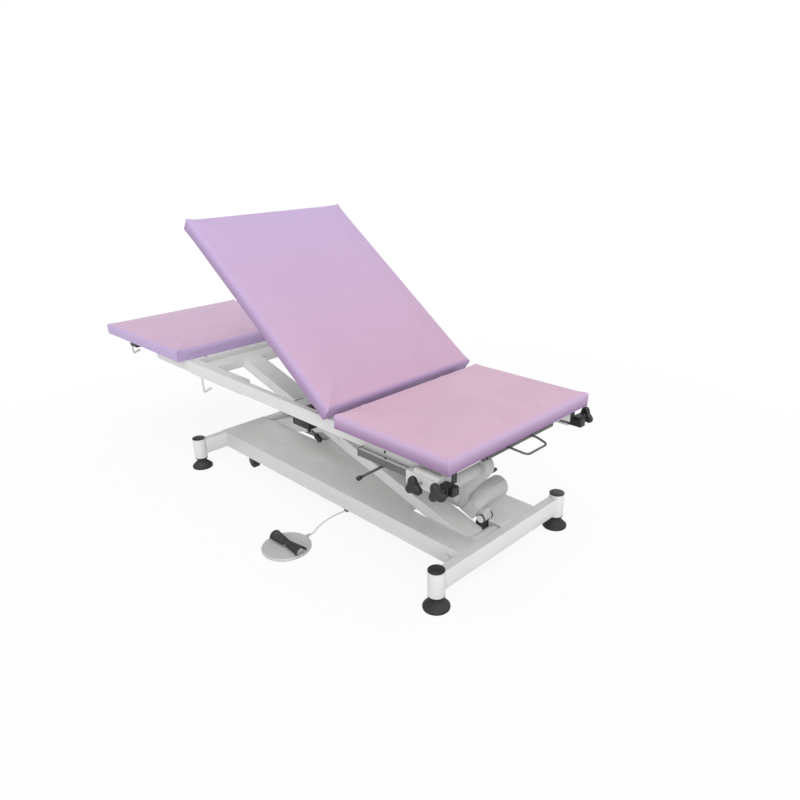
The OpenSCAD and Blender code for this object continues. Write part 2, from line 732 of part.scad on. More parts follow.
// the gear case tapers from the motor's round end to a five-sided near end
module gear_case() hull() {
    plate_y(-cap_near, -cap_near + gear_skin) polygon(from_pin(cap_shares, motor_d, motor_d));
    rod_y(act_x - motor_in, act_z + motor_up, motor_d, gear_far - gear_skin, gear_far);
}

module actuator_housing() color(moulded) difference() {
    union() {
        rod_y(act_x, act_z, knuckle_d, -knuckle_w / 2, knuckle_w / 2);
        plate_y(-knuckle_w / 2, knuckle_w / 2) polygon(from_pin(neck_shares, neck_l, neck_h));
        plate_y(-plate_near, plate_far) polygon(from_pin(plate_shares, plate_l, plate_h));
        rod_y(act_x - can_in, act_z + can_up, head_d, -plate_near, plate_far);
        gear_case();
    }
    rod_y(act_x, act_z, act_pin_d + 2 * run_gap, -knuckle_w, knuckle_w);
    on_actuator() rotate([0, 90, 0]) translate([0, 0, tube_from]) cylinder(d = act_tube_d, h = tube_from);
}

motor_l = 73;                // length of the motor's straight barrel
dome_l = 14;                 // length of its rounded end
module actuator_motor() color(moulded) {
    rod_y(act_x - motor_in, act_z + motor_up, motor_d, gear_far, gear_far + motor_l);
    translate([act_x - motor_in, gear_far + motor_l, act_z + motor_up]) rotate([-90, 0, 0])
        rotate_extrude() polygon(concat([[0, 0]],
            [for (t = [0 : 15 : 90]) [motor_d / 2 - dome_l * (1 - cos(t)), dome_l * sin(t)]], [[0, dome_l]]));
}

can_step = 52;               // where the upper barrel gets wider, from the centre line
can_end = 124;               // near end of the upper barrel
can_wide_d = 54;             // diameter of its wide part
can_cap_d = 40;              // diameter of its end's cap
can_cap_l = 8;               // length of that cap
module actuator_can() color(moulded) {
    x = act_x - can_in;
    z = act_z + can_up;
    rod_y(x, z, can_d, -can_step, -plate_near);
    rod_y(x, z, can_wide_d, -can_end + can_cap_l, -can_step);
    rod_y(x, z, can_cap_d, -can_end, -can_end + can_cap_l);
}

tube_from = 96;              // where the outer tube starts from the base pin
act_tube_l = 290;            // length of the actuator's outer tube
tube_floor = 12;             // depth of the tube's solid foot
tube_wall = 3.5;             // wall of the tube
module actuator_tube() color(moulded)
    on_actuator() rotate([0, 90, 0]) translate([0, 0, tube_from]) difference() {
        cylinder(d = act_tube_d, h = act_tube_l);
        translate([0, 0, tube_floor]) cylinder(d = act_tube_d - 2 * tube_wall, h = act_tube_l);
    }

rod_from = 240;              // where the rod starts inside the tube
rod_eye_d = 32;              // diameter of the rod's eye
rod_eye_w = 32;              // width of the rod's eye
module actuator_rod() color(steel) difference() {
    union() {
        on_actuator() rotate([0, 90, 0]) translate([0, 0, rod_from])
            cylinder(d = act_rod_d, h = act_len - rod_from);
        rod_y(rod_pin_x, rod_pin_z, rod_eye_d, -rod_eye_w / 2, rod_eye_w / 2);
    }
    rod_y(rod_pin_x, rod_pin_z, axle_d + 2 * run_gap, -rod_eye_w, rod_eye_w);
}

// top frame

rail_cap = 10;               // length of a rail's closed head end
round_share = 1.12;          // diameter of that end's rounding as a share of the rail's height
module side_rails() color(paint) both_sides() {
    tube([-rail_l + rail_cap, rail_in, rail_low], [rail_r, rail_out, rail_top], rail_wall);
    rounded_end();
}

// the closed rounded head end of a rail
module rounded_end() intersection() {
    box([-rail_l, rail_in, rail_low], [-rail_l + rail_cap, rail_out, rail_top]);
    rod_y(-rail_l + rail_h / 2, (rail_low + rail_top) / 2, rail_h * round_share, rail_in, rail_out);
}

guide_l = -642;              // head-side end of the glide guides
guide_r = -286;              // seat-side end of the glide guides
guide_lip = 3;               // lip of a guide under its rail
guide_end = 8;               // solid length at a guide's ends
guide_d = 15;                // depth of the guides' slots
module rail_guides() color(paint) both_sides() difference() {
    union() {
        box([guide_l, guide_in, rail_low], [guide_r, rail_in, rail_top]);
        box([guide_l, guide_in, rail_low - guide_lip], [guide_r, rail_out, rail_low]);
    }
    box([guide_l + guide_end, guide_in - cut, roll_z - glide_slot / 2],
        [guide_r - guide_end, guide_in + guide_d, roll_z + glide_slot / 2]);
}

head_tube_x = -700;          // head-side face of the broad cross tube
head_tube_w = 56;            // width of the broad cross tube
head_tube_low = 405;         // underside of the broad cross tube
head_tube_drop = 1;          // its top below the rails' top
hinge_tube_x = 262;          // head-side face of the tube that carries the hinges
hinge_tube_w = 26;           // width and height of that tube
hinge_tube_low = 416;        // underside of that tube
end_tube_x = 640;            // head-side face of the seat-end cross tube
end_tube_w = 22;             // width of the seat-end cross tube
end_tube_low = 402;          // underside of the seat-end cross tube
cross_wall = 2.5;            // wall of the cross tubes
module cross_tubes() color(paint) {
    tube([head_tube_x, -rail_in, head_tube_low],
        [head_tube_x + head_tube_w, rail_in, rail_top - head_tube_drop], cross_wall);
    tube([hinge_tube_x, -rail_in, hinge_tube_low],
        [hinge_tube_x + hinge_tube_w, rail_in, hinge_tube_low + hinge_tube_w], cross_wall);
    tube([end_tube_x, -rail_in, end_tube_low], [end_tube_x + end_tube_w, rail_in, runner_low], cross_wall);
}

top_lug_d = 26;              // diameter of the top lugs' eyes
top_lug_low = 12;            // the lugs' arm below and above the pivot
top_lug_up = 11;
module top_lugs() color(paint) {
    for (y = [arm_in - lug_t - free_gap, arm_out + free_gap]) difference() {
        union() {
            rod_y(pivot_x, roll_z, top_lug_d, y, y + lug_t);
            box([pivot_x, y, roll_z - top_lug_low], [end_tube_x, y + lug_t, roll_z + top_lug_up]);
        }
        rod_y(pivot_x, roll_z, axle_d, y - cut, y + lug_t + cut);
    }
    rod_y(pivot_x, roll_z, axle_d, arm_in - lug_t - free_gap, arm_out + lug_t + free_gap);
}

support_gap = 2.5;           // space between a head support's and a rail's line
support_w = 25;              // size of the head supports
support_l = 1165;            // distance from the centre to the head supports' ends
support_wall = 2;            // wall of the head supports
support_out = rail_in - support_gap;
support_low = rail_top - support_w;
module head_supports() color(paint) both_sides()
    tube([-support_l, support_out - support_w, support_low], [head_tube_x, support_out, rail_top],
        support_wall);

end_plug_t = 4;              // thickness of the supports' end plugs
block_from = 3;              // the roll holder's black block: from the outer hook's axis
block_l = 61;                // its length along the table
block_out = 4;               // its reach beyond the rails' line
block_h = 35;                // its height
module support_plugs() color(black) {
    both_sides() box([-support_l - end_plug_t, support_out - support_w, support_low],
        [-support_l, support_out, rail_top]);
    box([-hook_x + block_from, -rail_out - block_out, rail_top - block_h],
        [-hook_x + block_from + block_l, -support_out, rail_top]);
}

hook_x = 1169;               // distance from the centre to the outer roll hook
hook_mid_x = 568;            // distance from the centre to the inner roll hook
hook_drop = 74;              // drop of the outer hook
hook_mid_drop = 62;          // drop of the inner hook
hook_tilt = 76;              // angle of a hook's prong from the upright
ball_more = 0.5;             // how much wider a hook's round ends are
// a hook: a wire down, then across and a little up, with round ends
module hook(x, y, z_top, drop) {
    end_d = hook_d + ball_more;
    translate([x, y, z_top - drop]) {
        cylinder(d = hook_d, h = drop);
        sphere(d = end_d);
        rotate([-hook_tilt, 0, 0]) cylinder(d = hook_d, h = hook_reach);
        rotate([-hook_tilt, 0, 0]) translate([0, 0, hook_reach]) sphere(d = end_d);
    }
}

module roll_hooks() color(paint) {
    hook(-hook_mid_x, -rail_out + hook_d / 2, rail_low - guide_lip, hook_mid_drop);
    hook(-hook_x, -rail_out + hook_d / 2, rail_top, hook_drop);
}

box_in = 59.5;               // from the rail's inner face to the control box's near face
box_w = 50;                  // width of the control box
box_from = 104;              // distance from the centre to its head-side face
box_l = 90;                  // length of the control box
box_top = 398;               // top of the control box
box_h = 81;                  // height of the control box
boss_in = 10;                // place, size and drop of the boss under its corner
boss_y = 9;
boss_d = 14;
boss_drop = 9;
box_near = rail_in - box_in;
box_low = box_top - box_h;
box_end = -box_from + box_l;
module control_box() color(black) difference() {
    union() {
        box([-box_from, -box_near, box_low], [box_end, -box_near + box_w, box_top]);
        translate([box_end - boss_in, -box_near + boss_y, box_low - boss_drop])
            cylinder(d = boss_d, h = boss_drop + cut);
    }
    on_plug() cylinder(d = stem_d, h = stem_l);
}

plug_y = 14;                 // distance of the plug's axis from the box's near face
stem_in = 4;                 // how far the plug's stem starts inside the box
stem_up = 5;
stem_d = 7;                  // diameter of the plug's stem
stem_l = 32;                 // length of the stem
plug_tilt = 120;             // direction of the plug from the upright
plug_from = 24.2;            // where the plug's body starts on the stem
plug_body_d = 26;            // diameter of the plug's body
plug_body_l = 36;            // length of the plug's body
plug_tip_d = 18;             // diameter of its tip
plug_tip_l = 4;              // length of its tip
module on_plug() translate([box_end - stem_in, -box_near + plug_y, box_low + stem_up])
    rotate([0, plug_tilt, 0]) children();

module control_plug() color(black) on_plug() {
    cylinder(d = stem_d, h = stem_l);
    translate([0, 0, plug_from]) cylinder(d = plug_body_d, h = plug_body_l);
    translate([0, 0, plug_from + plug_body_l]) cylinder(d1 = plug_body_d, d2 = plug_tip_d, h = plug_tip_l);
}

board_in = 14;               // how far the boards stop inside the pads' edges
corner_min = 1.5;            // smallest corner radius of an inner outline
// outline of a pad drawn in by an inset, with round corners
function outline(x0, x1, w, inset) =
    let (r = max(pad_corner - inset, corner_min), a = x0 + inset + r, b = x1 - inset - r,
        h = w / 2 - inset - r, n = 5)
    [for (c = [[b, h, 0], [a, h, 90], [a, -h, 180], [b, -h, 270]], i = [0 : n])
        [c[0] + r * cos(c[2] + 90 * i / n), c[1] + r * sin(c[2] + 90 * i / n)]];

// the same outline as a ring of points at a height
function pad_ring(x0, x1, w, inset, z) = [for (p = outline(x0, x1, w, inset)) [p[0], p[1], z]];

// the board that closes a pad's recess
module board(x0, x1, w, z) translate([0, 0, z]) linear_extrude(height = board_t)
    polygon(outline(x0, x1, w, board_in));

module pad_boards() color(board_c) {
    board(seat_x, seat_x + seat_l, pad_w, rail_top);
    board(-head_x - head_l, -head_x, pad_w, rail_top);
}

hem_in = 3.5;                // how far a pad's underside is drawn in
hem_mid = 1.2;               // inset at the middle of the lower rounding
hem_low = 3;                 // height of the lower rounding's middle
hem_high = 9;                // height where a pad's side is at its full width
crown_w = 150;               // distance over which a pad rises to its crown
// rise of the crown: share of the distance, share of the height
crown_shares = [[0.053, 0.3], [0.213, 0.62], [0.533, 0.9], [1, 1]];
// a cushion with a tucked hem below, soft upper edges and a crown
module cushion(x0, x1, w, z0, z1) {
    rim = z1 - pad_crown;
    q = pad_round;
    soft = [for (t = [0, 20, 40, 60, 78]) [q * (1 - cos(t)), rim - q + q * sin(t)]];
    prof = concat([[board_in, z0 + board_t], [board_in, z0], [hem_in, z0], [hem_mid, z0 + hem_low],
        [0, z0 + hem_high]], soft, [for (c = crown_shares) [q + crown_w * c[0], rim + pad_crown * c[1]]]);
    m = len(prof);
    n = 24;
    pts = [for (p = prof) each pad_ring(x0, x1, w, p[0], p[1])];
    sides = [for (i = [0 : m - 2], j = [0 : n - 1]) each
        [[i * n + j, (i + 1) * n + (j + 1) % n, i * n + (j + 1) % n],
         [i * n + j, (i + 1) * n + j, (i + 1) * n + (j + 1) % n]]];
    ends = [[for (j = [0 : n - 1]) j], [for (j = [n - 1 : -1 : 0]) (m - 1) * n + j]];
    polyhedron(pts, concat(sides, ends), 6);
}

module seat_pad() color(lilac) cushion(seat_x, seat_x + seat_l, pad_w, rail_top, pad_top);

module head_pad() color(lilac) cushion(-head_x - head_l, -head_x, pad_w, rail_top, pad_top);

ear_y = 178;                 // inner face of the hinge ears
ear_t = 6;                   // thickness of the hinge ears
ear_r = 12;                  // radius of the hinge ears
ear_left = 9;                // the frame ears' outline beside the hinge
ear_down = 8;
ear_right = 11;
ear_up = 3;
hinge_pin_in = 8;            // reach of the hinge pins inside the ears
spring_plate_y = 147;        // inner face of the spring's plate
spring_r = 12;               // radius of the spring plate's eye
spring_pin_l = 12;           // reach of the spring's pins past its axis
lever_x = 447;               // place of the release lever
lever_z = 375;               // height of its pivot
lever_in = 2.5;              // from the rail's inner face to the lever's pivot
lever_y = rail_in - lever_in;
lever_ear_t = 4;             // thickness of the lever bracket's ears
lever_half = 12;             // half the lever bracket's width
lever_back = 6;              // the ears' reach behind and before the pivot
lever_front = 8;
lever_pin_d = 6;             // diameter of the lever's pin
strap_in = 14;               // from the control box's head-side face to its strap
strap_l = 60;                // width of the strap
strap_t = 3;                 // thickness of the strap
strap_h = 22;                // height of the strap on the rail
module frame_brackets() color(paint) {
    hinge_tube_top = hinge_tube_low + hinge_tube_w;
    both_sides() {
        plate_y(ear_y, ear_y + ear_t) {
            translate([hinge_x, hinge_z]) circle(r = ear_r);
            polygon([[hinge_x - ear_left, hinge_z - ear_down], [hinge_tube_x, hinge_tube_low + ear_up],
                [hinge_tube_x, hinge_tube_top], [hinge_x + ear_right, hinge_z + ear_up]]);
        }
        rod_y(hinge_x, hinge_z, hinge_pin_d, ear_y - hinge_pin_in, ear_y);
    }
    plate_y(spring_plate_y, spring_plate_y + ear_t) {
        translate([fx, fz]) circle(r = spring_r);
        polygon([[fx - spring_r, fz], [fx + spring_r, fz], [hinge_tube_x + hinge_tube_w, hinge_tube_low],
            [hinge_tube_x, hinge_tube_low]]);
    }
    rod_y(fx, fz, hinge_pin_d, spring_y - spring_pin_l, spring_plate_y);
    // lever bracket: two ears under the near rail, with the lever's pin between them
    for (x = [lever_x - lever_half, lever_x + lever_half - lever_ear_t])
        box([x, -lever_y - lever_back, lever_z - lever_front],
            [x + lever_ear_t, -lever_y + lever_front, rail_low]);
    box([lever_x - lever_half, -rail_in - lever_ear_t, rail_low - strap_t],
        [lever_x + lever_half, -lever_y + lever_front, rail_low]);
    rod_x(-lever_y, lever_z, lever_pin_d, lever_x - lever_half, lever_x + lever_half);
    // strap that carries the control box
    x = -box_from + strap_in;
    box([x, -rail_in, box_top], [x + strap_l, -box_near + box_w, box_top + strap_t]);
    box([x, -rail_in, box_top + strap_t], [x + strap_l, -rail_in + strap_t, box_top + strap_h]);
}

bracket_h = 36;              // height of a bar bracket
bracket_t = 11;              // thickness of a bar bracket's outer wall
boss_off = 4;                // place and size of the round boss along a bracket's top
boss_up = 17;
boss_round_d = 25;
boss_from = 22;              // how far the boss starts inside the bracket's inner end
knob_a_x = 619;              // places of the two clamp knobs along the table
knob_b_x = 695;
knob_b_up = 5;               // height of the outer knob above the bars' middle
knob_b_z = bar_z + knob_b_up;
// the white cast bracket that carries and clamps a slotted bar
module bracket_shape() difference() {
    union() {
        box([bracket_x, rail_out, bar_z - bracket_h / 2],
            [bracket_x + bracket_l, bar_out + bracket_t, bar_z + bracket_h / 2]);
        rod_x(bar_y + boss_off, bar_z + boss_up, boss_round_d, bracket_x + boss_from, bracket_x + bracket_l);
    }
    box([bracket_x - cut, rail_out - cut, bar_z - bar_w / 2 - free_gap],
        [bracket_x + bracket_l + cut, bar_out + free_gap, bar_z + bar_w / 2 + free_gap]);
    rod_y(knob_a_x, bar_z, screw_d + 2 * run_gap, bar_out, bar_out + 2 * bracket_t);
}

module bar_brackets() color(paint) both_sides() bracket_shape();

screw_in = 8;                // depth of the outer knob's screw hole in a bar
module slotted_bar() difference() {
    box([bar_x, bar_in, bar_z - bar_w / 2], [bar_end, bar_out, bar_z + bar_w / 2]);
    box([bar_x - cut, bar_y - slot_w / 2, bar_z + bar_w / 2 - slot_t],
        [bar_end + cut, bar_y + slot_w / 2, bar_z + bar_w / 2 + cut]);
    rod_y(knob_b_x, knob_b_z, screw_d + 2 * run_gap, bar_out - screw_in, bar_out + cut);
}

end_lap = 0.5;               // how far a bar's end lid stands proud
end_lid_t = 3.5;             // thickness of a bar's end lid
clamp_w = 24;                // width of the black clamp on a bar
clamp_t = 12;                // thickness of its outer wall
clamp_low = 12;              // its reach below and above the bars' middle
clamp_up = 16;
clamp_in = 4;                // how far its top stops inside the bar's inner face
// end lid and the black clamp that sits on a bar's outer side
module bar_end_shape() {
    box([bar_end, bar_in - end_lap / 2, bar_z - bar_w / 2 - end_lap],
        [bar_end + end_lid_t, bar_out + end_lap, bar_z + bar_w / 2 + end_lap]);
    difference() {
        union() {
            box([knob_b_x - clamp_w / 2, bar_out, bar_z - clamp_low],
                [knob_b_x + clamp_w / 2, bar_out + clamp_t, bar_z + clamp_up]);
            box([knob_b_x - clamp_w / 2, bar_in + clamp_in, bar_z + bar_w / 2],
                [knob_b_x + clamp_w / 2, bar_out, bar_z + clamp_up]);
        }
        rod_y(knob_b_x, knob_b_z, screw_d + 2 * run_gap, bar_out - cut, bar_out + 2 * clamp_t);
    }
}

module bar_near() color(graphite) mirror([0, 1, 0]) slotted_bar();
module bar_far() color(graphite) slotted_bar();
module bar_end_near() color(black) mirror([0, 1, 0]) bar_end_shape();
module bar_end_far() color(black) bar_end_shape();

lobe_r = 13;                 // radius of a knob's lobes
hub_r = 15;                  // radius of a knob's middle
collar_d = 18;               // diameter of a knob's collar
collar_l = 6;                // length of a knob's collar
// a three-lobed clamp knob with its screw, on an axis along Y
module knob_shape(x, z, y0, tip, turn) {
    plate_y(y0, y0 + knob_t) translate([x, z]) {
        circle(r = hub_r);
        for (a = [90 : 120 : 330]) rotate(a + turn) translate([knob_r - lobe_r, 0]) circle(r = lobe_r);
    }
    rod_y(x, z, collar_d, y0 - collar_l, y0);
    rod_y(x, z, screw_d, tip, y0);
}

tip_side = 0.7;              // space between the inner knob's screw and its bar
tip_in = 4;                  // depth of the outer knob's screw in its bar
knob_a_off = 31.5;           // from a bar's outer face to the knobs' inner faces
knob_b_off = 27;
tip_a = bar_out + tip_side;
tip_b = bar_out - tip_in;
knob_a_y = bar_out + knob_a_off;
knob_b_y = bar_out + knob_b_off;
module knob_near_a() color(black) mirror([0, 1, 0]) knob_shape(knob_a_x, bar_z, knob_a_y, tip_a, 8);
module knob_near_b() color(black) mirror([0, 1, 0]) knob_shape(knob_b_x, knob_b_z, knob_b_y, tip_b, 20);
module knob_far_a() color(black) knob_shape(knob_a_x, bar_z, knob_a_y, tip_a, 30);
module knob_far_b() color(black) knob_shape(knob_b_x, knob_b_z, knob_b_y, tip_b, 0);

// tray and lever

tray_near = -tray_off - tray_w / 2;
tray_far = -tray_off + tray_w / 2;
tray_drop = 3;               // the tray's rim below the rails' top
tray_wall = 1.5;             // sheet of the tray
tray_front = 4;              // thickness of the tray's front
runner_t = 3;                // thickness of the runners' floor
runner_out = 10;             // width of a runner beside the tray
runner_in = 8;               // width of a runner under the tray
tray_low = rail_top - tray_drop - tray_h;
runner_low = tray_low - runner_t - free_gap;
module tray() color(graphite) difference() {
    box([tray_x - tray_l, tray_near, tray_low], [tray_x, tray_far, tray_low + tray_h]);
    box([tray_x - tray_l + tray_wall, tray_near + tray_wall, tray_low + tray_wall],
        [tray_x - tray_front, tray_far - tray_wall, tray_low + tray_h + cut]);
}

module tray_runners() color(graphite) for (s = [-1, 1]) {
    y = -tray_off + s * (tray_w / 2 + free_gap);
    yo = y + s * runner_out;
    yi = y - s * runner_in;
    box([tray_x - tray_l, min(y, yo), runner_low], [tray_x - tray_front, max(y, yo), rail_top]);
    box([tray_x - tray_l, min(yi, yo), runner_low], [tray_x - tray_front, max(yi, yo), tray_low - free_gap]);
}

wire_bend = 16;              // bend radius of the handle's wire
handle_off = 6;              // the handle's offset from the tray's middle
module tray_handle() color(steel) translate([tray_x, -tray_off - handle_off, tray_low + tray_h / 2]) {
    for (s = [-1, 1]) {
        translate([0, s * (wire_w / 2 - wire_d / 2), 0]) rotate([0, 90, 0])
            cylinder(d = wire_d, h = wire_reach - wire_bend - wire_d / 2);
        translate([wire_reach - wire_bend - wire_d / 2, s * (wire_w / 2 - wire_d / 2 - wire_bend), 0])
            rotate([0, 0, s > 0 ? 0 : -90]) rotate_extrude(angle = 90)
                translate([wire_bend, 0]) circle(d = wire_d);
    }
    translate([wire_reach - wire_d / 2, -wire_w / 2 + wire_d / 2 + wire_bend, 0]) rotate([-90, 0, 0])
        cylinder(d = wire_d, h = wire_w - wire_d - 2 * wire_bend);
}

lever_from = 4;              // where the lever's rod starts before its pivot
lever_tilt = 92;             // direction of the lever from the upright
lever_hub_d = 12;            // diameter of the lever's hub
lever_hub_l = 15;            // length of the lever's hub
module on_lever() translate([lever_x, -lever_y - lever_from, lever_z]) rotate([lever_tilt, 0, 0]) children();

module lever_rod() color(graphite) difference() {
    union() {
        on_lever() cylinder(d = lever_d, h = lever_l);
        rod_x(-lever_y, lever_z, lever_hub_d, lever_x - lever_hub_l / 2, lever_x + lever_hub_l / 2);
    }
    rod_x(-lever_y, lever_z, lever_pin_d + 2 * run_gap, lever_x - lever_hub_l, lever_x + lever_hub_l);
}

grip_l = 22;                 // length of the lever's knob
grip_d = 18;                 // diameter of the lever's knob
grip_in = 8;                 // depth of the rod in its knob
grip_shares = [[0.66, 0], [0.94, 0.36], [1, 0.64], [0.84, 0.86], [0.44, 1]];
module lever_knob() color(black) on_lever() translate([0, 0, lever_l - grip_in]) difference() {
    rotate_extrude() polygon(concat([[0, 0]], [for (q = grip_shares) [q[0] * grip_d / 2, q[1] * grip_l]],
        [[0, grip_l]]));
    translate([0, 0, -cut]) cylinder(d = lever_d, h = grip_in + cut);
}

// backrest

// turns a child that is drawn flat to the backrest's angle
module raised() {
    translate([hinge_x, 0, hinge_z]) rotate([0, back_angle, 0]) translate([-hinge_x, 0, -hinge_z]) children();
}

back_r = hinge_x - back_gap;
back_x0 = back_r - back_l;
back_low = rail_top + free_gap;
module back_pad() color(lilac) raised() cushion(back_x0, back_r, pad_w, back_low, pad_top);

module back_board() color(board_c) raised() board(back_x0, back_r, pad_w, back_low);

frame_y = 150;               // inner face of the backrest's frame tubes
frame_r = 214;               // hinge-side end of the frame tubes
frame_wall = 2;              // wall of the backrest's tubes
frame_mid = -20;             // place of the middle cross tube
ear_side = 0.5;              // space between the frame's and the backrest's ears
back_ear_x = 190;            // where the backrest's ears start
back_ear_l = 66;             // length of their lower part
back_ear_h = 22;             // height of their lower part
back_ear_low = 23;           // their underside below the rails' top
back_ear_up = 36;            // height of their part round the hinge
module back_frame() color(paint) raised() {
    both_sides() difference() {
        union() {
            tube([frame_r - frame_l, frame_y, back_low - frame_w], [frame_r, frame_y + frame_w, back_low],
                frame_wall);
            plate_y(ear_y - ear_side - ear_t, ear_y - ear_side) {
                translate([back_ear_x, rail_top - back_ear_low]) square([back_ear_l, back_ear_h]);
                translate([hinge_x - ear_r, rail_top - back_ear_low]) square([2 * ear_r, back_ear_up]);
                translate([hinge_x, hinge_z]) circle(r = ear_r);
            }
        }
        rod_y(hinge_x, hinge_z, hinge_pin_d + 2 * run_gap, frame_y, ear_y + cut);
    }
    for (x = [frame_r - frame_l, frame_mid])
        tube([x, -frame_y, back_low - frame_w], [x + frame_w, frame_y, back_low], frame_wall);
    // the gas spring's upper pin
    rod_y(hinge_x - spring_link_l * cos(spring_high), hinge_z - spring_link_l * sin(spring_high), hinge_pin_d,
        spring_y - spring_pin_l, frame_y + cut);
}

spring_body_l = 175;         // length of the gas spring's cylinder
spring_rod_l = 187;          // length of its rod
spring_neck = 6;             // where the cylinder starts from its eye
spring_floor = 20;           // depth where its bore ends
spring_eye = 18;             // diameter and width of its eyes
module on_spring() {
    translate([fx, spring_y, fz]) rotate([0, -90 + spring_slope, 0]) children();
}

module spring_cylinder() color(black) difference() {
    union() {
        on_spring() translate([0, 0, spring_neck]) cylinder(d = spring_d, h = spring_body_l - spring_neck);
        rod_y(fx, fz, spring_eye, spring_y - spring_eye / 2, spring_y + spring_eye / 2);
    }
    rod_y(fx, fz, hinge_pin_d + 2 * run_gap, spring_y - spring_eye, spring_y + spring_eye);
    on_spring() translate([0, 0, spring_floor]) cylinder(d = spring_rod_d + 2 * free_gap, h = spring_body_l);
}

module spring_rod() color(steel) difference() {
    union() {
        on_spring() translate([0, 0, spring_len - spring_rod_l]) cylinder(d = spring_rod_d, h = spring_rod_l);
        rod_y(gx, gz, spring_eye, spring_y - spring_eye / 2, spring_y + spring_eye / 2);
    }
    rod_y(gx, gz, hinge_pin_d + 2 * run_gap, spring_y - spring_eye, spring_y + spring_eye);
}

base_posts();
post_lids();
base_feet();
cross_beams();
long_beams();
base_cover();
arm_channels();
actuator_fork();
actuator_pin();
wheel_mounts();
wheel_near();
wheel_far();
cord_clip();
pedal_base();
pedal_hump();
pedal_gland();
pedal_rocker();
cord();
arm_a();
arm_a_glides();
mid_pivot();
arm_b();
arm_b_pins();
actuator_housing();
actuator_motor();
actuator_can();
actuator_tube();
actuator_rod();
side_rails();
rail_guides();
cross_tubes();
top_lugs();
head_supports();
support_plugs();
roll_hooks();
control_box();
control_plug();
pad_boards();
seat_pad();
head_pad();
frame_brackets();
bar_brackets();
tray_runners();
back_board();
back_pad();
back_frame();
spring_cylinder();
spring_rod();
bar_near();
bar_far();
bar_end_near();
bar_end_far();
knob_near_a();
knob_near_b();
knob_far_a();
knob_far_b();
tray();
tray_handle();
lever_rod();
lever_knob();
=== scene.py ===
# %% [markdown]
# An examination table: three pads on a steel scissor lift with an electric actuator.
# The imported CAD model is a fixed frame. It gives each piece its size, its place and the
# body that it moves with. This lesson gives the pieces their looks: upholstery, powder
# coat, moulded plastic, rubber and bright steel.

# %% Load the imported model
import math

import bmesh
import bpy
import numpy as np
from mathutils import Matrix, Vector
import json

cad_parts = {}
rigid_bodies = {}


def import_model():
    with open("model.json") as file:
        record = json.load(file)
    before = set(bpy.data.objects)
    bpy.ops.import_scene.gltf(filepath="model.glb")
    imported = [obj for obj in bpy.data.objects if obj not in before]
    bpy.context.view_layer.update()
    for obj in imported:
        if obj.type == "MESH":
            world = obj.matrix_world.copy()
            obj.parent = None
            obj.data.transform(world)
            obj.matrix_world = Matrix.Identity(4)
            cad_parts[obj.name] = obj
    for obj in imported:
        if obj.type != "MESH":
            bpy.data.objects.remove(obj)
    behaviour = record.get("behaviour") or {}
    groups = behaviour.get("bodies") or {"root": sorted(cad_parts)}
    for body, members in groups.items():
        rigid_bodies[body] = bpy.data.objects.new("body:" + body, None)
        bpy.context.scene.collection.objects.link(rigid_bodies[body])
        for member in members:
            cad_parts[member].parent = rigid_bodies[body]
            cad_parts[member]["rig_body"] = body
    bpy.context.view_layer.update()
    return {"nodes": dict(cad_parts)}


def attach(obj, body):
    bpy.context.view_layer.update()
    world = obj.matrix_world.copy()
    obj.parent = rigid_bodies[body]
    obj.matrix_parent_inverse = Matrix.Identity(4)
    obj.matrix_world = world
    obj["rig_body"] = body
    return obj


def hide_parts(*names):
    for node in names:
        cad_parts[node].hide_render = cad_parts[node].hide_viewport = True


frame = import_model()
nodes = frame["nodes"]
MM = 0.001

# %% [markdown]
# The camera comes first, because every later choice is judged through it. Points on the
# pads, the posts and the near beam fix its direction, distance and lens, for pads taken
# as 650 mm wide. The picture's centre is a little off the lens's axis, which the two shift
# values give back.

# %% Camera
AZIMUTH = math.radians(45.63)
ELEVATION = math.radians(24.20)
ROLL = math.radians(-1.34)
DISTANCE = 2.26687
AIM = Vector((0.18045, 0.05108, 0.26976))
PICTURE = 800
FOCAL_PIXELS = 657.70
AXIS_X, AXIS_Y = 404.11, 436.21
SENSOR = 36.0


def in_scene(name, data):
    """A new object in the scene that shows some data."""
    made = bpy.data.objects.new(name, data)
    bpy.context.scene.collection.objects.link(made)
    return made


def way_out(azimuth, elevation):
    """The direction from the table out to a camera or lamp; azimuth 0 is the near side."""
    level = math.cos(elevation)
    return Vector((math.sin(azimuth) * level, -math.cos(azimuth) * level, math.sin(elevation)))


def camera_axes(azimuth, elevation, roll):
    """Right, up and backward directions of a camera that looks at the table."""
    backward = way_out(azimuth, elevation)
    right = (-backward).cross(Vector((0, 0, 1))).normalized()
    up = right.cross(-backward)
    turned_right = math.cos(roll) * right + math.sin(roll) * up
    turned_up = math.cos(roll) * up - math.sin(roll) * right
    return turned_right, turned_up, backward


right, up, backward = camera_axes(AZIMUTH, ELEVATION, ROLL)
camera = in_scene("camera", bpy.data.cameras.new("camera"))
camera.matrix_world = Matrix.Translation(AIM + DISTANCE * backward) @ (
    Matrix((right, up, backward)).transposed().to_4x4())
camera.data.sensor_width = SENSOR
camera.data.lens = FOCAL_PIXELS * SENSOR / PICTURE
camera.data.shift_x = (PICTURE / 2 - AXIS_X) / PICTURE
camera.data.shift_y = (AXIS_Y - PICTURE / 2) / PICTURE
bpy.context.scene.camera = camera
print("camera at", [round(v, 3) for v in camera.location], "lens", round(camera.data.lens, 2))

# %% [markdown]
# The foot control's cord leaves a clip under the near beam, comes down to the floor and
# goes into the grey gland on the disc. Both of its ends show, so its length is what shows.
# It is thin and limp, and one smooth curve through the points of the route gives its form.

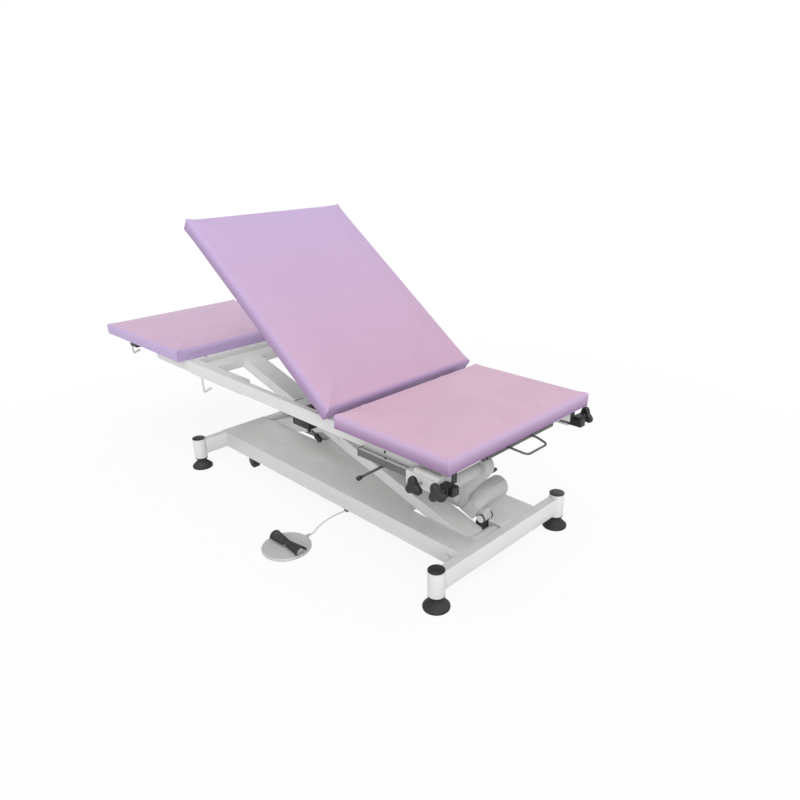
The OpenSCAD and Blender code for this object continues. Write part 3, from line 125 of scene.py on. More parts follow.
# %% Cord of the foot control
CORD_D = 4
CORD_STEPS = 3
CORD_ROUTE = [(124, -182, 52), (124, -187, 52), (124, -193, 52), (116, -212, 48),
              (108, -234, 41), (101, -260, 31), (98, -282, 21), (98, -298, 11),
              (98, -306, 8), (98, -311, 8), (98, -316, 8)]


def smooth_route(route, steps):
    """Points on a smooth curve that passes through every point of a route."""
    last = len(route) - 1
    points = []
    for k in range(last):
        a, b, c, d = (Vector(route[min(max(k + i, 0), last)]) for i in (-1, 0, 1, 2))
        for j in range(steps):
            t = j / steps
            points.append(0.5 * (2 * b + (c - a) * t + (2 * a - 5 * b + 4 * c - d) * t ** 2
                                 + (3 * b - a - 3 * c + d) * t ** 3))
    return points + [Vector(route[-1])]


cord_points = [p * MM for p in smooth_route(CORD_ROUTE, CORD_STEPS)]
cord_curve = bpy.data.curves.new("foot_cord", "CURVE")
cord_curve.dimensions = "3D"
cord_curve.bevel_depth = CORD_D / 2 * MM
cord_curve.bevel_resolution = 3
spline = cord_curve.splines.new("POLY")
spline.points.add(len(cord_points) - 1)
for point, place in zip(spline.points, cord_points):
    point.co = (*place, 1)
foot_cord = in_scene("foot_cord", cord_curve)

# %% [markdown]
# Effects that several finishes share are shader node groups, built once. Each reads the
# piece's own object coordinates in metres, so a grain has a true size on every piece.
# "Relief" gives a height for a bump, "Drift" a slow change between two colours or values,
# and "Dust" the thin bloom that settles on whatever faces up.

# %% Shared shader groups
def add_inputs(tree, inputs):
    """Named inputs whose kind follows from their value: number, place, colour or material."""
    for label, value in inputs.items():
        if value is None:
            tree.interface.new_socket(label, in_out="INPUT", socket_type="NodeSocketMaterial")
            continue
        kind = "Float" if isinstance(value, float) else "Vector" if len(value) == 3 else "Color"
        tree.interface.new_socket(label, in_out="INPUT",
                                  socket_type="NodeSocket" + kind).default_value = value


def node_group(name, inputs, **outputs):
    """A shader group with named sockets but no effect yet, and its input and output nodes."""
    group = bpy.data.node_groups.new(name, "ShaderNodeTree")
    add_inputs(group, inputs)
    for label, kind in outputs.items():
        group.interface.new_socket(label, in_out="OUTPUT", socket_type="NodeSocket" + kind)
    return group, group.nodes.new("NodeGroupInput"), group.nodes.new("NodeGroupOutput")


def linked(tree, kind, inputs, **settings):
    """A new node in a tree, with its settings, values and incoming links."""
    made = tree.nodes.new(kind)
    for name, value in settings.items():
        setattr(made, name, value)
    for socket, value in inputs.items():
        if isinstance(value, bpy.types.NodeSocket):
            tree.links.new(value, made.inputs[socket])
        else:
            made.inputs[socket].default_value = value
    return made


def maths(tree, operation, first, second):
    """The result of one Math node."""
    return linked(tree, "ShaderNodeMath", {0: first, 1: second}, operation=operation).outputs[0]


def mixed(tree, share, first, second):
    """Two colours mixed by a share."""
    return linked(tree, "ShaderNodeMix", {0: share, 6: first, 7: second},
                  data_type="RGBA").outputs[2]


def noise(tree, given, size, **inputs):
    """Soft noise at an input place, with blotches of the size that an input gives."""
    scale = maths(tree, "DIVIDE", 1.0, given.outputs[size])
    return linked(tree, "ShaderNodeTexNoise",
                  {"Vector": given.outputs["Place"], "Scale": scale, **inputs}).outputs["Fac"]


def remapped(tree, value, low, high, **to):
    """A value carried from the range low to high over to another range, 0 to 1 if none."""
    return linked(tree, "ShaderNodeMapRange", {"Value": value, "From Min": low, "From Max": high,
                                               **to}).outputs[0]


def relief_group():
    """Height of a fine skin: rounded cells of one size over softer waves of another."""
    group, given, result = node_group(
        "Relief", {"Place": (0, 0, 0), "Grain size": 0.001, "Wave size": 0.01, "Wave share": 0.3},
        Height="Float")
    grains = maths(group, "DIVIDE", 1.0, given.outputs["Grain size"])
    cells = linked(group, "ShaderNodeTexVoronoi",
                   {"Vector": given.outputs["Place"], "Scale": grains}, feature="SMOOTH_F1")
    soft = noise(group, given, "Wave size", Detail=2.0)
    height = linked(group, "ShaderNodeMix",
                    {0: given.outputs["Wave share"], 2: cells.outputs["Distance"], 3: soft},
                    data_type="FLOAT")
    group.links.new(height.outputs[0], result.inputs["Height"])
    return group


def drift_group():
    """A slow change between two colours, and the same change as a plain value."""
    group, given, result = node_group(
        "Drift", {"Place": (0, 0, 0), "Patch size": 0.1, "First": (1, 1, 1, 1),
                  "Second": (0, 0, 0, 1), "Low": 0.4, "High": 0.5},
        Colour="Color", Value="Float")
    patches = noise(group, given, "Patch size", Detail=4.0, Roughness=0.6)
    colour = mixed(group, remapped(group, patches, 0.35, 0.65), given.outputs["First"],
                   given.outputs["Second"])
    value = remapped(group, patches, 0.3, 0.7, **{"To Min": given.outputs["Low"],
                                                  "To Max": given.outputs["High"]})
    group.links.new(colour, result.inputs["Colour"])
    group.links.new(value, result.inputs["Value"])
    return group


def dust_group():
    """How much fine dust lies at a point: in soft patches, and only on what faces up."""
    group, given, result = node_group(
        "Dust", {"Place": (0, 0, 0), "Facing": (0, 0, 1), "Patch size": 0.06, "Amount": 0.2},
        Share="Float")
    upward = linked(group, "ShaderNodeSeparateXYZ", {0: given.outputs["Facing"]}).outputs[2]
    patches = noise(group, given, "Patch size", Detail=5.0, Roughness=0.65)
    share = maths(group, "MULTIPLY", remapped(group, upward, 0.3, 0.95),
                  remapped(group, patches, 0.42, 0.68))
    amount = maths(group, "MULTIPLY", share, given.outputs["Amount"])
    group.links.new(amount, result.inputs["Share"])
    return group


RELIEF, DRIFT, DUST = relief_group(), drift_group(), dust_group()
DUST_GREY = (176, 175, 172)
print("shader groups:", RELIEF.name, DRIFT.name, DUST.name)

# %% [markdown]
# Most finishes here are one skin with a fine relief, a slow drift of colour and a slow
# drift of gloss. One function makes them from their own numbers. Colours are written as
# they look on a screen, and turned to the linear values that the shader wants.

# %% Finishes with a fine skin
def screen(*rgb):
    """Linear colour of a screen colour given as three numbers up to 255."""
    share = [v / 255 for v in rgb]
    return (*[v / 12.92 if v <= 0.04045 else ((v + 0.055) / 1.055) ** 2.4 for v in share], 1.0)


def emptied(owner):
    """The node tree of a material or world, with nothing in it."""
    owner.use_nodes = True
    owner.node_tree.nodes.clear()
    return owner.node_tree


def empty_material(name):
    """A material with only a Principled shader and an output."""
    made = bpy.data.materials.new(name)
    tree = emptied(made)
    shader = tree.nodes.new("ShaderNodeBsdfPrincipled")
    linked(tree, "ShaderNodeOutputMaterial", {"Surface": shader.outputs[0]})
    return made, tree, shader


def skin(name, pale, dark, gloss, grain, wave, depth, patch=0.12, stretch=(1, 1, 1), dust=0.0,
         marks=(), waves=0.3, strength=0.6, **settings):
    """A finish whose colour and roughness drift and whose surface has a fine relief.

    gloss is the lowest and highest roughness, grain and wave are sizes in mm and waves is
    the larger one's share, depth is the relief's depth in mm and strength how much it
    shows, stretch draws the pattern out along the axes, dust is the most dust that lies on
    it, and marks are attributes with the colour that each mixes in.
    """
    made, tree, shader = empty_material(name)
    coordinates = tree.nodes.new("ShaderNodeTexCoord")
    place = coordinates.outputs["Object"]
    if stretch != (1, 1, 1):
        place = linked(tree, "ShaderNodeMapping", {"Vector": place, "Scale": stretch}).outputs[0]
    drift = linked(tree, "ShaderNodeGroup",
                   {"Place": place, "Patch size": patch, "First": screen(*pale),
                    "Second": screen(*dark), "Low": gloss[0], "High": gloss[1]}, node_tree=DRIFT)
    relief = linked(tree, "ShaderNodeGroup", {"Place": place, "Grain size": grain * MM,
                                              "Wave size": wave * MM, "Wave share": waves},
                    node_tree=RELIEF)
    bump = linked(tree, "ShaderNodeBump", {"Height": relief.outputs["Height"],
                                           "Distance": depth * MM, "Strength": strength})
    colour = drift.outputs["Colour"]
    for attribute, shade in marks:
        mark = linked(tree, "ShaderNodeAttribute", {}, attribute_name=attribute).outputs["Fac"]
        colour = mixed(tree, mark, colour, screen(*shade))
    if dust:
        bloom = linked(tree, "ShaderNodeGroup",
                       {"Place": place, "Facing": coordinates.outputs["Normal"], "Amount": dust},
                       node_tree=DUST)
        colour = mixed(tree, bloom.outputs["Share"], colour, screen(*DUST_GREY))
    tree.links.new(colour, shader.inputs["Base Color"])
    tree.links.new(drift.outputs["Value"], shader.inputs["Roughness"])
    tree.links.new(bump.outputs[0], shader.inputs["Normal"])
    for socket, value in settings.items():
        shader.inputs[socket.replace("_", " ")].default_value = value
    return made


powder_coat = skin("powder_coat", (233, 232, 231), (229, 229, 228), (0.34, 0.44), 1.4, 9, 0.05,
                   dust=0.10)
black_moulding = skin("black_moulding", (29, 29, 30), (23, 23, 24), (0.40, 0.52), 0.7, 6, 0.05,
                      dust=0.10)
black_rubber = skin("black_rubber", (34, 34, 35), (28, 28, 29), (0.62, 0.75), 0.5, 4, 0.06,
                    dust=0.12)
grey_moulding = skin("grey_moulding", (202, 202, 201), (196, 196, 196), (0.36, 0.46), 0.8, 7, 0.05,
                     dust=0.08)
brushed_bar = skin("brushed_bar", (112, 112, 113), (102, 102, 104), (0.38, 0.48), 0.6, 3, 0.03,
                   stretch=(0.08, 1, 1), marks=[("marked", (216, 216, 215))], dust=0.05,
                   Metallic=0.2)
dark_anodised = skin("dark_anodised", (98, 98, 99), (86, 86, 88), (0.34, 0.46), 0.6, 3, 0.03,
                     stretch=(0.12, 1, 1), Metallic=0.4)
bright_steel = skin("bright_steel", (206, 206, 206), (190, 190, 192), (0.22, 0.34), 0.5, 3, 0.02,
                    Metallic=1.0)
black_metal = skin("black_metal", (40, 40, 42), (32, 32, 34), (0.36, 0.48), 1.1, 7, 0.05, dust=0.08)
pad_board = skin("pad_board", (64, 60, 56), (52, 49, 46), (0.6, 0.75), 0.9, 12, 0.08, dust=0.1)
cord_sheath = skin("cord_sheath", (196, 197, 198), (188, 189, 191), (0.42, 0.5), 0.5, 3, 0.03)
print("finishes:", len(bpy.data.materials))

# %% [markdown]
# The upholstery is a soft matt leathercloth. Its grain is a field of small cells about a
# millimetre across. The pads' faces are a pinkish lilac. Over it lies painted light: a cooler
# lilac on their rounded edges and sides, over the head pad and up the backrest, and painted
# shade of a deeper lilac down their sides towards the board and at the backrest's seat end.
# The mesh carries both in its attributes.

# %% Upholstery
# Painted light: the first colour is a cool lilac that stands in for light on the pads' edges and
# sides, the second a deep lilac that is painted shade.
COOL_LIGHT_LILAC = (198, 174, 218)
SHADE_LILAC = (150, 116, 158)
upholstery = skin("leathercloth", (219, 182, 203), (215, 178, 200), (0.52, 0.6), 1.1, 14, 0.18,
                  patch=0.09, marks=[("cool", COOL_LIGHT_LILAC), ("deep", SHADE_LILAC)], waves=0.25,
                  strength=0.7, Sheen_Weight=0.12, Sheen_Roughness=0.4)
cord_curve.materials.append(cord_sheath)

# %% [markdown]
# A machined or moulded edge is never knife sharp: it is broken by half a millimetre or
# more, and that narrow band catches the light. A copy of a CAD node is loose triangles, so
# its doubles are merged and its flat faces made whole first, and a Bevel modifier then
# breaks only the sharp edges and keeps the flats flat with hardened normals.

# %% Copies with broken edges
def worked(work, mesh):
    """Writes a worked form into a mesh and lets go of it."""
    work.to_mesh(mesh)
    work.free()
    return mesh


def whole_mesh(node):
    """A copy of a CAD node's mesh with its doubles merged and its flats made whole."""
    mesh = nodes[node].data.copy()
    mesh.materials.clear()
    work = bmesh.new()
    work.from_mesh(mesh)
    bmesh.ops.remove_doubles(work, verts=work.verts, dist=0.000002)
    bmesh.ops.dissolve_limit(work, angle_limit=math.radians(0.6), verts=work.verts,
                             edges=work.edges)
    for face in work.faces:
        face.smooth = True
    return worked(work, mesh)


SLOT_OF = {powder_coat: "white_paint", black_moulding: "black_plastic",
           black_rubber: "black_rubber", black_metal: "black_metal",
           grey_moulding: "grey_plastic", bright_steel: "bright_steel",
           dark_anodised: "grey_metal", brushed_bar: "grey_metal", pad_board: "board",
           upholstery: "upholstery"}


def new_piece(name, mesh, material, body, *stands_for, slot=None):
    """A finished piece: its material, its body and the nodes it stands for."""
    slot = slot or SLOT_OF[material]
    piece = in_scene(name, mesh)
    piece.data.materials.append(material)
    if stands_for:
        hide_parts(*stands_for)
    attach(piece, body)
    return piece


def body_of_node(node):
    """The body that a CAD node moves with."""
    return nodes[node]["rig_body"]


def stand_in(name, mesh, material, node, slot=None):
    """A finished piece that takes the place of one CAD node, on that node's body."""
    return new_piece(name, mesh, material, body_of_node(node), node, slot=slot)


def broken_edges(piece, width, segments=2, angle=35, clamp=False):
    """Breaks a piece's sharp edges by a width in mm."""
    bevel = piece.modifiers.new("broken edges", "BEVEL")
    bevel.width = width * MM
    bevel.segments = segments
    bevel.limit_method = "ANGLE"
    bevel.angle_limit = math.radians(angle)
    bevel.use_clamp_overlap = clamp
    bevel.harden_normals = True
    return piece


def dressed(node, material, width):
    """A CAD node's shape with broken edges and its finish. Wide ones stop where they meet."""
    piece = stand_in(node + "_dressed", whole_mesh(node), material, node)
    return broken_edges(piece, width, segments=3 if width > 2 else 2, clamp=width > 2)


# %% [markdown]
# Now each rigid node gets its finish. The welded frame is white powder coat, the lids,
# feet, knobs and grips are black, the actuator and the foot control are light grey
# mouldings, and the slotted bars and the tray are dark anodised.

# %% Dress the rigid nodes
DRESS = [
    (powder_coat, 1.0,
     ["cross_beams", "long_beams", "arm_channels", "arm_a", "arm_b", "mid_pivot",
      "side_rails", "rail_guides", "cross_tubes", "top_lugs", "head_supports", "frame_brackets",
      "back_frame"]),
    (powder_coat, 0.5, ["base_posts", "actuator_pin"]),
    (powder_coat, 0.3, ["base_cover"]),
    (powder_coat, 4.0, ["bar_brackets"]),
    (black_moulding, 1.2,
     ["post_lids", "control_box", "support_plugs", "bar_end_near", "bar_end_far", "cord_clip"]),
    (black_rubber, 0.8, ["base_feet", "wheel_near", "wheel_far", "pedal_rocker"]),
    (black_metal, 0.6, ["actuator_fork", "spring_rod", "wheel_mounts"]),
    (powder_coat, 0.6, ["spring_cylinder"]),
    (grey_moulding, 3.0, ["actuator_housing", "actuator_can"]),
    (grey_moulding, 1.0,
     ["actuator_motor", "actuator_tube", "pedal_base", "pedal_hump", "pedal_gland"]),
    (bright_steel, 0.5, ["arm_a_glides", "arm_b_pins", "actuator_rod"]),
    (dark_anodised, 0.5, ["tray", "tray_runners", "lever_rod"]),
    (pad_board, 0.5, ["pad_boards", "back_board"]),
]
dressed_pieces = {node: dressed(node, material, width)
                  for material, width, names in DRESS for node in names}
print("dressed nodes:", len(dressed_pieces), "of", len(nodes))

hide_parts("cord")
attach(foot_cord, "base")

# %% [markdown]
# Several small pieces are turned on a lathe in real life: collars, screws, plugs, knobs. One
# function spins a profile round any axis. A lobed knob is the same lathe with a radius that
# swells three times in a turn, which is how the real moulding is drawn.

# %% A lathe for turned and lobed pieces
def lathe(start, along, profile, sides=32, lobes=0, swell=0.0, turn=0.0):
    """A closed mesh round an axis: profile gives (distance along it, radius) in mm.

    lobes and swell add a wave to the radius, and turn is the angle of its first crest,
    measured from +X towards +Z for an axis along Y.
    """
    axis = Vector(along).normalized()
    side = Vector((1, 0, 0)) if abs(axis.x) < 0.9 else Vector((0, 1, 0))
    side = (side - side.dot(axis) * axis).normalized()
    other = axis.cross(side)
    if abs(axis.y) > 0.9:
        side, other = Vector((1, 0, 0)), Vector((0, 0, 1))
    work = bmesh.new()
    rings = []
    for distance, radius in profile:
        ring = []
        for k in range(sides):
            angle = 2 * math.pi * k / sides
            reach = radius * (1 + swell * math.cos(lobes * (angle - math.radians(turn))))
            point = Vector(start) + distance * axis + reach * (math.cos(angle) * side
                                                               + math.sin(angle) * other)
            ring.append(work.verts.new(point * MM))
        rings.append(ring)
    for low, high in zip(rings, rings[1:]):
        for k in range(sides):
            work.faces.new((low[k], low[(k + 1) % sides], high[(k + 1) % sides], high[k]))
    work.faces.new(rings[0][::-1])
    work.faces.new(rings[-1])
    bmesh.ops.recalc_face_normals(work, faces=work.faces)
    for face in work.faces:
        face.smooth = True
    return worked(work, bpy.data.meshes.new("turned"))


# %% [markdown]
# Each clamp knob is a black moulding with three full lobes and soft edges, on a black collar
# and a bright screw. The screw's thread is a row of ridges a little over a millimetre apart.
# The sizes and axes repeat those of the CAD nodes, which the knobs replace.

# %% Clamp knobs and their screws
BAR_Z = 395
BAR_OUT = 309
KNOB_MEAN, KNOB_SWELL, KNOB_LOBES = 22.8, 0.28, 3
KNOB_EDGE = [(0, 0.72), (0.8, 0.86), (2.5, 0.95), (5, 1), (12, 1), (15, 0.96), (17, 0.88),
             (18, 0.72), (17.6, 0.5), (17, 0.2), (16.9, 0.02)]
COLLAR_R, COLLAR_L, SCREW_R = 9, 6, 4
THREAD = 1.25
KNOBS = {"knob_near_a": (619, BAR_Z, 340.5, 309.7, 98, -1),
         "knob_near_b": (695, BAR_Z + 5, 336, 305, 110, -1),
         "knob_far_a": (619, BAR_Z, 340.5, 309.7, 120, 1),
         "knob_far_b": (695, BAR_Z + 5, 336, 305, 90, 1)}


def clamp_knob(node, x, z, inner, tip, turn, side):
    """A three-lobed knob on its collar, and the bright screw that it turns."""
    body = body_of_node(node)
    start, along = (x, side * inner, z), (0, side, 0)
    edge = [(distance, KNOB_MEAN * share) for distance, share in KNOB_EDGE]
    stand_in(node + "_lobes", lathe(start, along, edge, 60, KNOB_LOBES, KNOB_SWELL, turn),
             black_moulding, node)
    collar = [(-COLLAR_L, COLLAR_R - 1), (-COLLAR_L + 1, COLLAR_R), (0, COLLAR_R), (1, COLLAR_R + 3)]
    new_piece(node + "_collar", lathe(start, along, collar), black_moulding, body)
    ridges = []
    place = tip - inner
    while place < -COLLAR_L:
        ridges += [(place, SCREW_R - 0.5), (place + THREAD / 2, SCREW_R)]
        place += THREAD
    new_piece(node + "_screw", lathe(start, along, ridges, 20), bright_steel, body)


for node, facts in KNOBS.items():
    clamp_knob(node, *facts)
print("knobs:", len(KNOBS), " widest", 2 * KNOB_MEAN * (1 + KNOB_SWELL), "mm")

# %% [markdown]
# A stirrup bar is an extruded grey profile with a narrow slot along its top, which is paler
# than its sides. It is drawn as one outline across and then drawn out along the table. Faces
# that are pale carry the attribute "marked", so one finish gives both shades.

# %% Slotted bars
SIDES = (-1, 1)
BAR_FROM, BAR_TO = 360, 713
BAR_W = 24
CHAMFER = 0.8
SLOT_MOUTH, SLOT_LIP, SLOT_WIDE, SLOT_DEEP = 3.4, 1.4, 9, 4.6


def bar_outline():
    """Half of the bar's outline, from the bottom's middle to the slot's floor, (y, z)."""
    h = BAR_W / 2
    return [(h - CHAMFER, -h), (h, -h + CHAMFER), (h, h - CHAMFER), (h - CHAMFER, h),
            (SLOT_MOUTH / 2, h), (SLOT_MOUTH / 2, h - SLOT_LIP), (SLOT_WIDE / 2, h - SLOT_LIP),
            (SLOT_WIDE / 2, h - SLOT_DEEP)]


def slotted_bar(node, side):
    """A bar with its slot, pale on top."""
    half = bar_outline()
    outline = half + [(-y, z) for y, z in reversed(half)]
    middle = BAR_OUT - BAR_W / 2
    work = bmesh.new()
    ends = [[work.verts.new((x * MM, side * (middle + y) * MM, (BAR_Z + z) * MM))
             for y, z in outline] for x in (BAR_FROM, BAR_TO)]
    mark = work.faces.layers.float.new("marked")
    for k in range(len(outline)):
        n = (k + 1) % len(outline)
        face = work.faces.new((ends[0][k], ends[0][n], ends[1][n], ends[1][k]))
        on_top = min(outline[k][1], outline[n][1]) > BAR_W / 2 - CHAMFER - 0.1
        face[mark] = 1.0 if on_top else 0.0
    for end in ends:
        work.faces.new(end)[mark] = 0.15
    bmesh.ops.recalc_face_normals(work, faces=work.faces)
    mesh = worked(work, bpy.data.meshes.new(node))
    return stand_in(node + "_profile", mesh, brushed_bar, node)


def black_block(name, low, high, body):
    """A moulded block between two corners in mm, with its edges broken."""
    work = bmesh.new()
    bmesh.ops.create_cube(work, size=1)
    size = Vector(high) - Vector(low)
    middle = (Vector(high) + Vector(low)) / 2
    for vert in work.verts:
        vert.co = Vector(v * s + m for v, s, m in zip(vert.co, size, middle)) * MM
    mesh = worked(work, bpy.data.meshes.new(name))
    mesh.shade_smooth()
    return broken_edges(new_piece(name, mesh, black_moulding, body), 1.2, segments=3)


SLEEVE_FROM, SLEEVE_TO, SLEEVE_T = 674, 717, 0.7
CAP_FROM, CAP_TO = 358, 361.5
RAIL_END, RAIL_IN, RAIL_OUT, RAIL_LOW, PLUG_T = 690, 264.5, 284.5, 401, 3
for side, word in zip(SIDES, ("near", "far")):
    across = sorted((side * (BAR_OUT - BAR_W - SLEEVE_T / 2), side * (BAR_OUT + SLEEVE_T)))
    for piece, start, stop in (("sleeve", SLEEVE_FROM, SLEEVE_TO), ("cap", CAP_FROM, CAP_TO)):
        black_block("bar_" + piece + "_" + word,
                    (start, across[0], BAR_Z - BAR_W / 2 - SLEEVE_T),
                    (stop, across[1], BAR_Z + BAR_W / 2 + SLEEVE_T), body_of_node("bar_" + word))
    across = sorted((side * (RAIL_IN + 0.4), side * (RAIL_OUT - 0.4)))
    black_block("rail_plug_" + word, (RAIL_END - 1, across[0], RAIL_LOW + 0.4),
                (RAIL_END + PLUG_T, across[1], RAIL_LOW + 43.6), "top")
bars = [slotted_bar(node, side) for side, node in zip(SIDES, ("bar_near", "bar_far"))]
print("bars:", [len(bar.data.polygons) for bar in bars])

# %% [markdown]
# The release lever's small knob and the plug on the control box are lathe work too. Both
# take the axes of their CAD nodes.

# %% Lever knob and control plug
LEVER_AT, LEVER_TILT, LEVER_L = (447, -266, 375), 92, 115
GRIP_L, GRIP_R, GRIP_IN = 19, 7, 8
PLUG_AT, PLUG_TILT = (-18, -191, 313), 120
PLUG_PROFILE = [(24.2, 5.5), (24.6, 7), (26, 9), (29, 10), (46, 10), (50, 9.4), (53, 8), (55, 6),
                (55.6, 3)]


def from_upright(start, tilt, axis, distance):
    """A direction tilted from upright about X or Y, and the point that far along it."""
    turned = Matrix.Rotation(math.radians(tilt), 3, axis) @ Vector((0, 0, 1))
    return turned, Vector(start) + distance * turned


lever_way, grip_start = from_upright(LEVER_AT, LEVER_TILT, "X", LEVER_L - GRIP_IN)
grip = [(GRIP_L * a, GRIP_R * r) for a, r in
        ((0, 0.5), (0.04, 0.66), (0.25, 0.86), (0.5, 1), (0.72, 0.98), (0.88, 0.8), (0.97, 0.5),
         (1, 0.12))]
stand_in("lever_knob_turned", lathe(grip_start, lever_way, grip), black_moulding, "lever_knob")
plug_way, plug_start = from_upright(PLUG_AT, PLUG_TILT, "Y", 0)
stand_in("control_plug_turned", lathe(plug_start, plug_way, PLUG_PROFILE), black_moulding,
         "control_plug")
new_piece("control_plug_stem", lathe(plug_start, plug_way, [(3, 3), (26, 3)], 20), black_moulding,
          body_of_node("control_plug"))
print("lever points", [round(v, 2) for v in lever_way], "plug points", [round(v, 2) for v in plug_way])

# %% [markdown]
# What repeats or follows a path is grown by Geometry Nodes. A tree is built in the script
# with named inputs, its result becomes a plain mesh, and the modifier goes away with its
# holder, so a finished piece is only a mesh.

# %% Trees that grow a mesh
def geometry_tree(name, inputs):
    """An empty geometry tree with named inputs, and its input and output nodes."""
    tree = bpy.data.node_groups.new(name, "GeometryNodeTree")
    tree.interface.new_socket("Start", in_out="INPUT", socket_type="NodeSocketGeometry")
    add_inputs(tree, inputs)
    tree.interface.new_socket("Result", in_out="OUTPUT", socket_type="NodeSocketGeometry")
    return tree, tree.nodes.new("NodeGroupInput"), tree.nodes.new("NodeGroupOutput")


def finished_tree(tree, given, result, geometry):
    """Ends a tree in Realize Instances and Set Material."""
    plain = linked(tree, "GeometryNodeRealizeInstances", {0: geometry})
    smooth = linked(tree, "GeometryNodeSetShadeSmooth", {0: plain.outputs[0], "Shade Smooth": True})
    coloured = linked(tree, "GeometryNodeSetMaterial",
                      {0: smooth.outputs[0], "Material": given.outputs["Finish"]})
    tree.links.new(coloured.outputs[0], result.inputs["Result"])
    return tree


def grown(name, tree, start, **values):
    """The plain mesh that a tree grows from a start mesh."""
    holder = in_scene(name, start)
    modifier = holder.modifiers.new("grow", "NODES")
    modifier.node_group = tree
    for item in tree.interface.items_tree:
        wanted = item.name.replace(" ", "_").lower()
        if item.item_type == "SOCKET" and item.in_out == "INPUT" and wanted in values:
            modifier[item.identifier] = values[wanted]
    depsgraph = bpy.context.evaluated_depsgraph_get()
    mesh = bpy.data.meshes.new_from_object(holder.evaluated_get(depsgraph), depsgraph=depsgraph)
    mesh.materials.clear()
    bpy.data.objects.remove(holder)
    return mesh


# %% [markdown]
# A roll hook and the tray's handle are bent wire. The tree rounds the corners of a path,
# sweeps a circle along it and puts a ball on each end. The path is a chain of points.

# %% Bent wire
def wire_tree():
    """Wire along a chain of points: rounded bends, a round section and balls on its ends."""
    tree, given, result = geometry_tree(
        "Bent wire", {"Radius": 0.004, "Bend": 0.006, "Ball": 0.0045, "Finish": None})
    path = linked(tree, "GeometryNodeMeshToCurve", {0: given.outputs["Start"]})
    bent = linked(tree, "GeometryNodeFilletCurve",
                  {"Curve": path.outputs[0], "Radius": given.outputs["Bend"], "Count": 7,
                   "Limit Radius": True}, mode="POLY")
    section = linked(tree, "GeometryNodeCurvePrimitiveCircle", {"Resolution": 14,
                                                                "Radius": given.outputs["Radius"]})
    swept = linked(tree, "GeometryNodeCurveToMesh", {"Curve": bent.outputs[0],
                                                     "Profile Curve": section.outputs[0],
                                                     "Fill Caps": True})
    ends = linked(tree, "GeometryNodeCurveEndpointSelection", {})
    ball = linked(tree, "GeometryNodeMeshIcoSphere", {"Radius": given.outputs["Ball"],
                                                      "Subdivisions": 3})
    balls = linked(tree, "GeometryNodeInstanceOnPoints",
                   {"Points": path.outputs[0], "Selection": ends.outputs[0],
                    "Instance": ball.outputs[0]})
    both = tree.nodes.new("GeometryNodeJoinGeometry")
    tree.links.new(swept.outputs[0], both.inputs[0])
    tree.links.new(balls.outputs[0], both.inputs[0])
    return finished_tree(tree, given, result, both.outputs[0])


def chains(*paths):
    """A mesh of bare edges along each path of points in mm."""
    mesh = bpy.data.meshes.new("path")
    points = [tuple(v * MM for v in p) for path in paths for p in path]
    edges, base = [], 0
    for path in paths:
        edges += [(base + i, base + i + 1) for i in range(len(path) - 1)]
        base += len(path)
    mesh.from_pydata(points, edges, [])
    return mesh


WIRE = wire_tree()


def wire(name, paths, radius, bend, ball, finish):
    """The mesh of bent wire along each path, with sizes in mm."""
    return grown(name, WIRE, chains(*paths), radius=radius * MM, bend=bend * MM, ball=ball * MM,
                 finish=finish)


HOOK_Y, HOOK_REACH, HOOK_R, HOOK_BALL = -281, 28, 4.5, 5.2
HOOKS = [(-568, 398, 336), (-1169, 445, 371)]
HANDLE_Y, HANDLE_Z, HANDLE_R = -14, 436, 3.2
HANDLE_HALF, HANDLE_OUT, HANDLE_DROP, HANDLE_TAPER = 53, 57, 7, 0.86
hook_paths = [[(x, HOOK_Y, top), (x, HOOK_Y, low),
               (x, HOOK_Y + HOOK_REACH * 0.55, low + 5), (x, HOOK_Y + HOOK_REACH, low + 9)]
              for x, top, low in HOOKS]
stand_in("roll_hooks_wire", wire("hooks", hook_paths, HOOK_R, 6, HOOK_BALL, powder_coat),
         powder_coat, "roll_hooks")
half_handle = [(703, HANDLE_HALF, HANDLE_Z), (724, HANDLE_HALF, HANDLE_Z - 1),
               (706 + HANDLE_OUT, HANDLE_HALF * HANDLE_TAPER, HANDLE_Z - HANDLE_DROP)]
handle_path = ([(x, HANDLE_Y - y, z) for x, y, z in half_handle]
               + [(x, HANDLE_Y + y, z) for x, y, z in reversed(half_handle)])
stand_in("tray_handle_wire", wire("handle", [handle_path], HANDLE_R, 15, HANDLE_R, dark_anodised),
         dark_anodised, "tray_handle", slot="bright_steel")
print("wires:", len(hook_paths) + 1)

# %% [markdown]
# Screw heads repeat all over the frame. The tree makes one low head with a sunk socket and
# puts it on every point, turned by the attribute "turn". One mesh is grown for each set.

